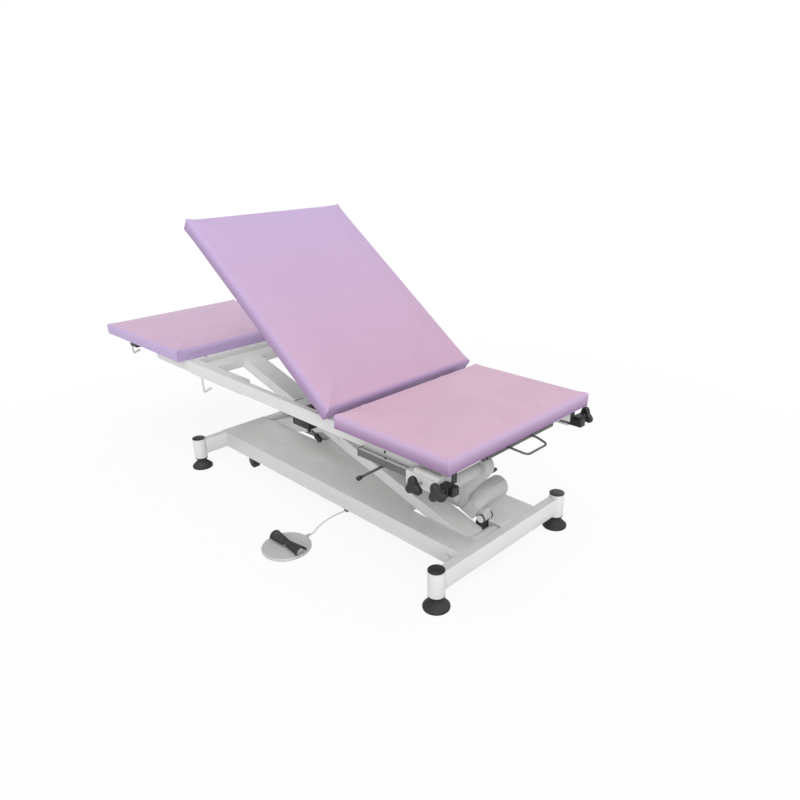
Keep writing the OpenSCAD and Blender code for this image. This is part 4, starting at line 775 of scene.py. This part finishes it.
# %% Screw heads
def screw_tree():
    """A low round head with a sunk socket on every point."""
    tree, given, result = geometry_tree(
        "Screw heads", {"Radius": 0.004, "Height": 0.002, "Socket": 0.5, "Finish": None})
    shoulder = maths(tree, "MULTIPLY", given.outputs["Radius"], 0.78)
    head = linked(tree, "GeometryNodeMeshCone",
                  {"Vertices": 18, "Radius Top": shoulder,
                   "Radius Bottom": given.outputs["Radius"], "Depth": given.outputs["Height"]})
    rim = linked(tree, "GeometryNodeExtrudeMesh",
                 {"Mesh": head.outputs["Mesh"], "Selection": head.outputs["Top"],
                  "Offset Scale": 0.0})
    mouth = linked(tree, "GeometryNodeScaleElements",
                   {"Geometry": rim.outputs["Mesh"], "Selection": rim.outputs["Top"],
                    "Scale": given.outputs["Socket"]})
    depth = maths(tree, "MULTIPLY", given.outputs["Height"], -0.6)
    sunk = linked(tree, "GeometryNodeExtrudeMesh",
                  {"Mesh": mouth.outputs[0], "Selection": rim.outputs["Top"],
                   "Offset Scale": depth})
    turn = linked(tree, "GeometryNodeInputNamedAttribute", {"Name": "turn"},
                  data_type="FLOAT_VECTOR")
    rotation = linked(tree, "FunctionNodeEulerToRotation", {0: turn.outputs["Attribute"]})
    placed = linked(tree, "GeometryNodeInstanceOnPoints",
                    {"Points": given.outputs["Start"], "Instance": sunk.outputs["Mesh"],
                     "Rotation": rotation.outputs[0]})
    return finished_tree(tree, given, result, placed.outputs[0])


SCREWS = screw_tree()


def screw_points(places):
    """A mesh of points in mm, each with the turn that stands a head on its surface."""
    mesh = bpy.data.meshes.new("screw places")
    mesh.from_pydata([tuple(v * MM for v in place) for place, facing in places], [], [])
    turns = [tuple(Vector(facing).to_track_quat("Z", "Y").to_euler()) for place, facing in places]
    flat = [v for turn in turns for v in turn]
    mesh.attributes.new("turn", "FLOAT_VECTOR", "POINT").data.foreach_set("vector", flat)
    return mesh


def screws(name, body, places, radius, height, finish):
    """Screw heads of one size on one body."""
    mesh = grown(name, SCREWS, screw_points(places), radius=radius * MM, height=height * MM,
                 socket=0.5, finish=finish)
    return new_piece(name, mesh, finish, body)


NEAR, FAR, UP, DOWN = (0, -1, 0), (0, 1, 0), (0, 0, 1), (0, 0, -1)
BRACKET_BODY = body_of_node("bar_brackets")
bar_screws = [((467, side * 302, 407), UP) for side in SIDES]
board_screws = [((x, y, 445), DOWN) for x in (320, 620) for y in (-225, 225)]
plug_screws = [((-1230, y, 445), DOWN) for y in (-225, 225)]
SCREW_SETS = [
    ("rail_screws", "top", [((446, side * 284.5, 414), (0, side, 0)) for side in SIDES], 4.2, 1.6,
     black_metal),
    ("bar_screw_near", BRACKET_BODY, bar_screws[:1], 3.6, 1.2, black_metal),
    ("bar_screw_far", BRACKET_BODY, bar_screws[1:], 3.6, 1.2, black_metal),
    ("tube_screws", "top", [((-652, y, 444), UP) for y in (-207, 207)], 4.0, 1.4, black_metal),
    ("cover_screws", "base", [((x, side * 172, 118), UP) for side in SIDES
                              for x in (-560, -200, 200)], 4.0, 1.2, powder_coat),
    ("board_screws", "top", board_screws + plug_screws, 5.0, 2.4, bright_steel),
]
for row in SCREW_SETS:
    screws(*row)
hub_profile = [(0, 15), (0.8, 15), (1.6, 14.2), (2.2, 12.5), (2.4, 8), (2.5, 1)]
new_piece("beam_hub", lathe((587, -185, 79), NEAR, hub_profile, 40), powder_coat, "base")
print("screws:", sum(len(row[2]) for row in SCREW_SETS))

# %% [markdown]
# The actuator's mouldings meet in lines that show: a seam along the motor's barrel, a step
# ring where the gear case ends, and a black cable gland behind the upper barrel's head. The
# seam is a thin wire let into the surface, and the other two are lathe work.

# %% Actuator seams and gland
MOTOR_X, MOTOR_Z, MOTOR_R = 540, 184, 35.5
SEAM_AT = math.radians(55)
SEAM_FROM, SEAM_TO = 44, 114
seam_x = MOTOR_X + MOTOR_R * math.cos(SEAM_AT)
seam_z = MOTOR_Z + MOTOR_R * math.sin(SEAM_AT)
seam_path = [(seam_x, y, seam_z) for y in (SEAM_FROM, SEAM_TO)]
new_piece("motor_seam", wire("seam", [seam_path], 0.5, 0.1, 0.5, dark_anodised), dark_anodised,
          "actuator")
step_ring = [(0, MOTOR_R - 1), (0, MOTOR_R + 0.5), (0.5, MOTOR_R + 0.8), (5, MOTOR_R + 0.8),
             (5.5, MOTOR_R + 0.5), (5.5, MOTOR_R - 1)]
new_piece("motor_step", lathe((MOTOR_X, 48, MOTOR_Z), FAR, step_ring, 64), grey_moulding,
          "actuator")
gland = [(0, 8), (5, 8), (6, 6.5), (44, 6.5), (48, 5), (49, 3)]
new_piece("head_gland", lathe((561, 25, 267), FAR, gland), black_moulding, "actuator")

# %% [markdown]
# A pad is a foam block on a board, covered in leathercloth that is drawn tight round it.
# The upright corners stay crisp where the cover is folded, the top edges are soft and wide,
# and the sides are drawn in a little between the corners and towards the board. It is built
# as a lattice on the surface of a block, with more lines near the edges. Rings of the
# lattice are then rolled over the edge by an angle, so no line crosses another.

# %% Pads: the lattice
PAD_W = 650
RAIL_TOP = 445
PAD_T = 49
BACK_ANGLE = math.radians(36)
HINGE = (244, 458)
PADS = {"seat_pad": (273, 718), "head_pad": (-1307, -660), "back_pad": (-614, 226)}
CORNER, ROUND_TOP, ROUND_PEAK, ROUND_LOW = 5, 17, 8, 4
JOINT_END = {"seat_pad": -1, "head_pad": 0, "back_pad": 1}
REACH, ROUND_JOINT = 4, {"seat_pad": 8, "head_pad": ROUND_TOP, "back_pad": ROUND_TOP}
PEAK_POWER, PULL_REACH, TUCK_FROM = 20, 60, 8
CROWN, CROWN_REACH, START_LOW = 3, 160, 4
SLACK, TUCK = 0.3, 4
STEP = 10
EDGE_LINES = (0, 2, 4.5, 8, 12, 17, 24)


def edge_lines(low, high):
    """Places from low to high, close together near both ends."""
    inner_low, inner_high = low + EDGE_LINES[-1], high - EDGE_LINES[-1]
    count = round((inner_high - inner_low) / STEP)
    middle = [inner_low + (inner_high - inner_low) * i / count for i in range(1, count)]
    return [low + v for v in EDGE_LINES] + middle + [high - v for v in reversed(EDGE_LINES)]


def height_lines(low, high):
    """Places up a pad's side: close together where its edges are rounded."""
    side_low, side_high = low + ROUND_LOW, high - ROUND_TOP
    side = [side_low + (side_high - side_low) * i / 4 for i in range(5)]
    return ([low, low + ROUND_LOW / 2] + side
            + [side_high + ROUND_TOP * v for v in (0.25, 0.5, 0.75, 1)])


def lattice(xs, ys, zs):
    """Vertices and faces of a block's surface with lines at the given places."""
    last = (len(xs) - 1, len(ys) - 1, len(zs) - 1)
    index, places, faces = {}, [], []

    def corner(i, j, k):
        if (i, j, k) not in index:
            index[i, j, k] = len(places)
            places.append((xs[i], ys[j], zs[k]))
        return index[i, j, k]

    def quad(ring, outward):
        faces.append(ring if outward else ring[::-1])

    for i in range(last[0]):
        for j in range(last[1]):
            for k in (0, last[2]):
                quad([corner(i, j, k), corner(i + 1, j, k), corner(i + 1, j + 1, k),
                      corner(i, j + 1, k)], k)
        for k in range(last[2]):
            for j in (0, last[1]):
                quad([corner(i, j, k), corner(i + 1, j, k), corner(i + 1, j, k + 1),
                      corner(i, j, k + 1)], not j)
    for j in range(last[1]):
        for k in range(last[2]):
            for i in (0, last[0]):
                quad([corner(i, j, k), corner(i, j + 1, k), corner(i, j + 1, k + 1),
                      corner(i, j, k + 1)], i)
    return np.array(places, float), faces


# %% [markdown]
# Every lattice point belongs to a ring: its distance from the block's rim. A ring on the top
# rolls from the side's face (angle 0) over the edge to the flat (angle 90), and its upright
# corners are turned from a square into a small arc. Towards a corner the edge gets tighter,
# because the folded cover stands up a little there. The two ends that meet at the backrest's
# hinge are not pulled in, so that they close the view between them.

# %% Pads: the drawn form
def rolled(name, places, low, high):
    """Lattice points rolled over the top and bottom edges, with crisp upright corners."""
    middle, half = (low[:2] + high[:2]) / 2, (high[:2] - low[:2]) / 2
    flat = places[:, :2] - middle
    rim = (half - np.abs(flat)).min(axis=1)
    ring = np.maximum(half - rim[:, None], 1e-6)
    share = np.abs(flat) / ring
    along = share.min(axis=1)
    at_joint = (share[:, 0] >= share[:, 1]) & (flat[:, 0] * JOINT_END[name] > 0)
    z = places[:, 2]
    over = ROUND_TOP - (ROUND_TOP - ROUND_PEAK) * along ** PEAK_POWER
    over = np.where(at_joint, np.minimum(over, ROUND_JOINT[name]), over)
    side_top, side_low = high[2] - over, low[2] + ROUND_LOW
    on_top, on_low = z > high[2] - 1e-6, z < low[2] + 1e-6
    over_top = np.where(on_top, 45 + 45 * np.clip(rim / over, 0, 1),
                        45 * np.clip((z - side_top) / over, 0, 1))
    over_low = np.where(on_low, 45 + 45 * np.clip(rim / ROUND_LOW, 0, 1),
                        45 * np.clip((side_low - z) / ROUND_LOW, 0, 1))
    top, bottom = np.radians(over_top), np.radians(over_low)
    inset = np.where(z > side_top, over * (1 - np.cos(top)), ROUND_LOW * (1 - np.cos(bottom)))
    inset = np.where((on_top & (rim > over)) | (on_low & (rim > ROUND_LOW)), rim, inset)
    height = np.where(z > side_top, side_top + over * np.sin(top),
                      np.where(z < side_low, side_low - ROUND_LOW * np.sin(bottom), z))
    near_edge = np.clip(1 - rim / PULL_REACH, 0, 1) ** 2
    tuck_top = high[2] - TUCK_FROM
    depth = np.clip((tuck_top - height) / (tuck_top - low[2]), 0, 1)
    pull = near_edge * (SLACK * (1 - along ** 6) + TUCK * depth ** 1.4 * (1 - 0.8 * along ** 14))
    pull = np.where(at_joint, 0, pull)
    ring_half = half - (inset + pull)[:, None]
    moved = np.where(inset[:, None] + pull[:, None] == rim[:, None], flat, flat * ring_half / ring)
    to_corner = ring_half - np.abs(moved)
    off = np.clip((CORNER - to_corner) / CORNER, 0, None)
    in_corner = off.min(axis=1) > 0
    length = np.maximum(np.linalg.norm(off, axis=1), 1e-9)
    turned = off * (off.max(axis=1) / length)[:, None]
    arc = np.sign(flat) * (ring_half - CORNER + turned * CORNER)
    moved = np.where(in_corner[:, None], arc, moved)
    return np.column_stack([moved + middle, height]), rim, depth


def pad_shape(name, x0, x1, low_z):
    """The drawn pad, flat on its board: points in mm, faces, rim distances and depths."""
    low = np.array([x0, -PAD_W / 2, low_z], float)
    high = np.array([x1, PAD_W / 2, RAIL_TOP + PAD_T - START_LOW], float)
    places, faces = lattice(edge_lines(x0, x1), edge_lines(-PAD_W / 2, PAD_W / 2),
                            height_lines(low_z, high[2]))
    shape, rim, depth = rolled(name, places, low, high)
    on_top = places[:, 2] > high[2] - 1e-6
    shape[:, 2] += np.where(on_top, CROWN * (1 - (1 - np.clip(rim / CROWN_REACH, 0, 1)) ** 2.2), 0)
    return shape, faces, np.where(on_top, rim, 0), depth


# %% [markdown]
# Foam pushes the cover out from inside. The Cloth modifier does the same with pressure: the
# lattice is already an even, closed mesh, so it goes in as it is, its underside is held by
# the board, and gravity is off. A point may move only a few millimetres, because the real
# foam is firm. The moved points are written back and the modifier is gone.

# %% Pads: the foam swells
SWELL, FRAMES = 4.5, 20
PRESSURE, STIFFNESS = 4, 30


def swollen(mesh, low_z):
    """Swells a pad by pressure and gives its points in mm, each moved SWELL mm at most."""
    start = np.zeros(len(mesh.vertices) * 3, np.float32)
    mesh.vertices.foreach_get("co", start)
    start = start.reshape(-1, 3)
    holder = in_scene("foam", mesh)
    held = holder.vertex_groups.new(name="held")
    held.add([int(i) for i in np.where(start[:, 2] < (low_z + 1) * MM)[0]], 1.0, "REPLACE")
    cloth = holder.modifiers.new("swell", "CLOTH")
    cloth.settings.use_pressure = True
    cloth.settings.uniform_pressure_force = PRESSURE
    cloth.settings.vertex_group_mass = "held"
    cloth.settings.effector_weights.gravity = 0
    cloth.settings.tension_stiffness = cloth.settings.compression_stiffness = STIFFNESS
    cloth.point_cache.frame_start, cloth.point_cache.frame_end = 1, FRAMES
    for moment in range(1, FRAMES + 1):
        bpy.context.scene.frame_set(moment)
    depsgraph = bpy.context.evaluated_depsgraph_get()
    result = holder.evaluated_get(depsgraph).to_mesh()
    end = np.zeros(len(start) * 3, np.float32)
    result.vertices.foreach_get("co", end)
    holder.modifiers.remove(cloth)
    bpy.data.objects.remove(holder)
    bpy.context.scene.frame_set(1)
    moved = end.reshape(-1, 3) - start
    length = np.linalg.norm(moved, axis=1, keepdims=True)
    moved = moved * np.minimum(1, SWELL * MM / np.maximum(length, 1e-9))
    return (start + moved) / MM


# How much painted cool light and painted shade each pad gets: on its face from its seat-side end to
# its head-side end, and on its sides.
COOL_LIGHT_FACE = {"seat_pad": (0.0, 0.0), "head_pad": (0.3, 0.3), "back_pad": (0.1, 0.9)}
COOL_LIGHT_SIDE = {"seat_pad": 0.62, "head_pad": 1.0, "back_pad": 0.8}
SHADE_FACE = {"seat_pad": (0.0, 0.0), "head_pad": (0.0, 0.0), "back_pad": (0.18, 0.0)}
EDGE_FROM, EDGE_WIDE = 2, 14
SHADE_SIDE = {"seat_pad": 1.0, "head_pad": 0.05, "back_pad": 0.6}


def along_pad(name, places, ends):
    """A value that changes evenly from a pad's seat-side end to its head-side end."""
    x0, x1 = PADS[name]
    share = np.clip((x1 - places[:, 0]) / (x1 - x0), 0, 1)
    return ends[0] + (ends[1] - ends[0]) * share


def painted_pad_light(name, places, rim, depth):
    """How much painted cool light and painted shade the lilac carries at each point of a pad."""
    edge = COOL_LIGHT_SIDE[name] * (1 - np.clip((rim - EDGE_FROM) / EDGE_WIDE, 0, 1) ** 0.8)
    cool = along_pad(name, places, COOL_LIGHT_FACE[name])
    deep = along_pad(name, places, SHADE_FACE[name])
    return {"cool": np.clip(cool + (1 - cool) * edge, 0, 1),
            "deep": np.clip(deep + SHADE_SIDE[name] * depth, 0, 1)}


def make_pad(name):
    """A pad, turned to the backrest's angle if it is the backrest's."""
    x0, x1 = PADS[name]
    x0, x1 = x0 + min(JOINT_END[name], 0) * REACH, x1 + max(JOINT_END[name], 0) * REACH
    low_z = RAIL_TOP + (0.3 if name == "back_pad" else 0)
    places, faces, rim, depth = pad_shape(name, x0, x1, low_z)
    mesh = bpy.data.meshes.new(name)
    mesh.from_pydata((places * MM).tolist(), [], faces)
    mesh.update()
    places = swollen(mesh, low_z)
    places[:, 2] = np.clip(places[:, 2], low_z, RAIL_TOP + PAD_T + 2)
    mesh.vertices.foreach_set("co", (places * MM).astype(np.float32).ravel())
    mesh.update()
    # The painted light and shade go into the mesh as point attributes.
    for label, values in painted_pad_light(name, places, rim, depth).items():
        attribute = mesh.attributes.new(label, "FLOAT", "POINT")
        attribute.data.foreach_set("value", values.astype(np.float32))
    if name == "back_pad":
        hinge = Vector((HINGE[0] * MM, 0, HINGE[1] * MM))
        mesh.transform(Matrix.Translation(hinge) @ Matrix.Rotation(BACK_ANGLE, 4, "Y")
                       @ Matrix.Translation(-hinge))
    mesh.shade_smooth()
    piece = stand_in(name + "_soft", mesh, upholstery, name)
    smooth = piece.modifiers.new("finer", "SUBSURF")
    smooth.levels = smooth.render_levels = 1
    return piece


pads = [make_pad(name) for name in PADS]
print("pads:", [(p.name, len(p.data.polygons)) for p in pads])

# %% [markdown]
# The floor and the background are plain and pale. What the camera sees of them is near
# white, through Is Camera Ray and its glossy and transmission relatives, while the light
# on the table stays at a plain level. The floor keeps the table's soft shadow, and far from
# the table it runs into the same white as the background, so no edge shows between them.

# %% Floor, background and lamps
FLOOR_HALF, FLOOR_Z = 14.0, -0.0005
SKY_LIGHT = 0.50
NEAR_WHITE, FAR_WHITE = 0.90, 1.0
FADE_FROM, FADE_TO = 1.1, 2.6


def seen_directly(tree):
    """1 for rays from the camera, off gloss and through glass, 0 for the rest."""
    path = tree.nodes.new("ShaderNodeLightPath")
    first = maths(tree, "MAXIMUM", path.outputs["Is Camera Ray"], path.outputs["Is Glossy Ray"])
    return maths(tree, "MAXIMUM", first, path.outputs["Is Transmission Ray"])


def mixed_surface(tree, share, plain, seen, output):
    """Sends a plain shader, mixed by a share with the one that is seen, to an output."""
    both = linked(tree, "ShaderNodeMixShader", {0: share, 1: plain.outputs[0], 2: seen.outputs[0]})
    linked(tree, output, {"Surface": both.outputs[0]})


def pale_world(strength):
    """A white sky of a given strength that looks near white where it is seen."""
    world = bpy.data.worlds.new("studio")
    bpy.context.scene.world = world
    tree = emptied(world)
    light = linked(tree, "ShaderNodeBackground", {"Color": (1, 1, 1, 1), "Strength": strength})
    seen = linked(tree, "ShaderNodeBackground", {"Color": (1, 1, 1, 1), "Strength": 1.0})
    mixed_surface(tree, seen_directly(tree), light, seen, "ShaderNodeOutputWorld")


def pale_floor():
    """A wide floor just under the feet, near white, that still shows a soft shadow."""
    mesh = bpy.data.meshes.new("floor")
    corners = [(x * FLOOR_HALF, y * FLOOR_HALF, FLOOR_Z)
               for x, y in ((-1, -1), (1, -1), (1, 1), (-1, 1))]
    mesh.from_pydata(corners, [], [(0, 1, 2, 3)])
    floor = in_scene("floor", mesh)
    made = bpy.data.materials.new("studio_floor")
    tree = emptied(made)
    matt = linked(tree, "ShaderNodeBsdfDiffuse", {"Color": (0.93, 0.93, 0.93, 1)})
    white = linked(tree, "ShaderNodeEmission", {"Color": (1, 1, 1, 1), "Strength": 1.0})
    place = tree.nodes.new("ShaderNodeTexCoord").outputs["Object"]
    away = linked(tree, "ShaderNodeVectorMath", {0: place}, operation="LENGTH").outputs["Value"]
    white_share = linked(tree, "ShaderNodeMapRange",
                         {"Value": away, "From Min": FADE_FROM, "From Max": FADE_TO,
                          "To Min": NEAR_WHITE, "To Max": FAR_WHITE},
                         interpolation_type="SMOOTHSTEP")
    share = maths(tree, "MULTIPLY", seen_directly(tree), white_share.outputs[0])
    mixed_surface(tree, share, matt, white, "ShaderNodeOutputMaterial")
    mesh.materials.append(made)


def soft_sun(name, share, azimuth, elevation, softness):
    """A soft sun that adds a share of full light to a surface that faces it."""
    data = bpy.data.lights.new(name, "SUN")
    data.energy = share * math.pi
    data.angle = math.radians(softness)
    lamp = in_scene(name, data)
    source = way_out(math.radians(azimuth), math.radians(elevation))
    lamp.rotation_mode = "QUATERNION"
    lamp.rotation_quaternion = source.to_track_quat("Z", "Y")


pale_world(SKY_LIGHT)
pale_floor()
soft_sun("overhead", 0.26, 60, 78, 50)
soft_sun("camera_side", 0.34, 46, 28, 40)
bpy.context.scene.view_settings.view_transform = "Standard"

# %% [markdown]
# The last cell imports json.

# %% Finish
import json
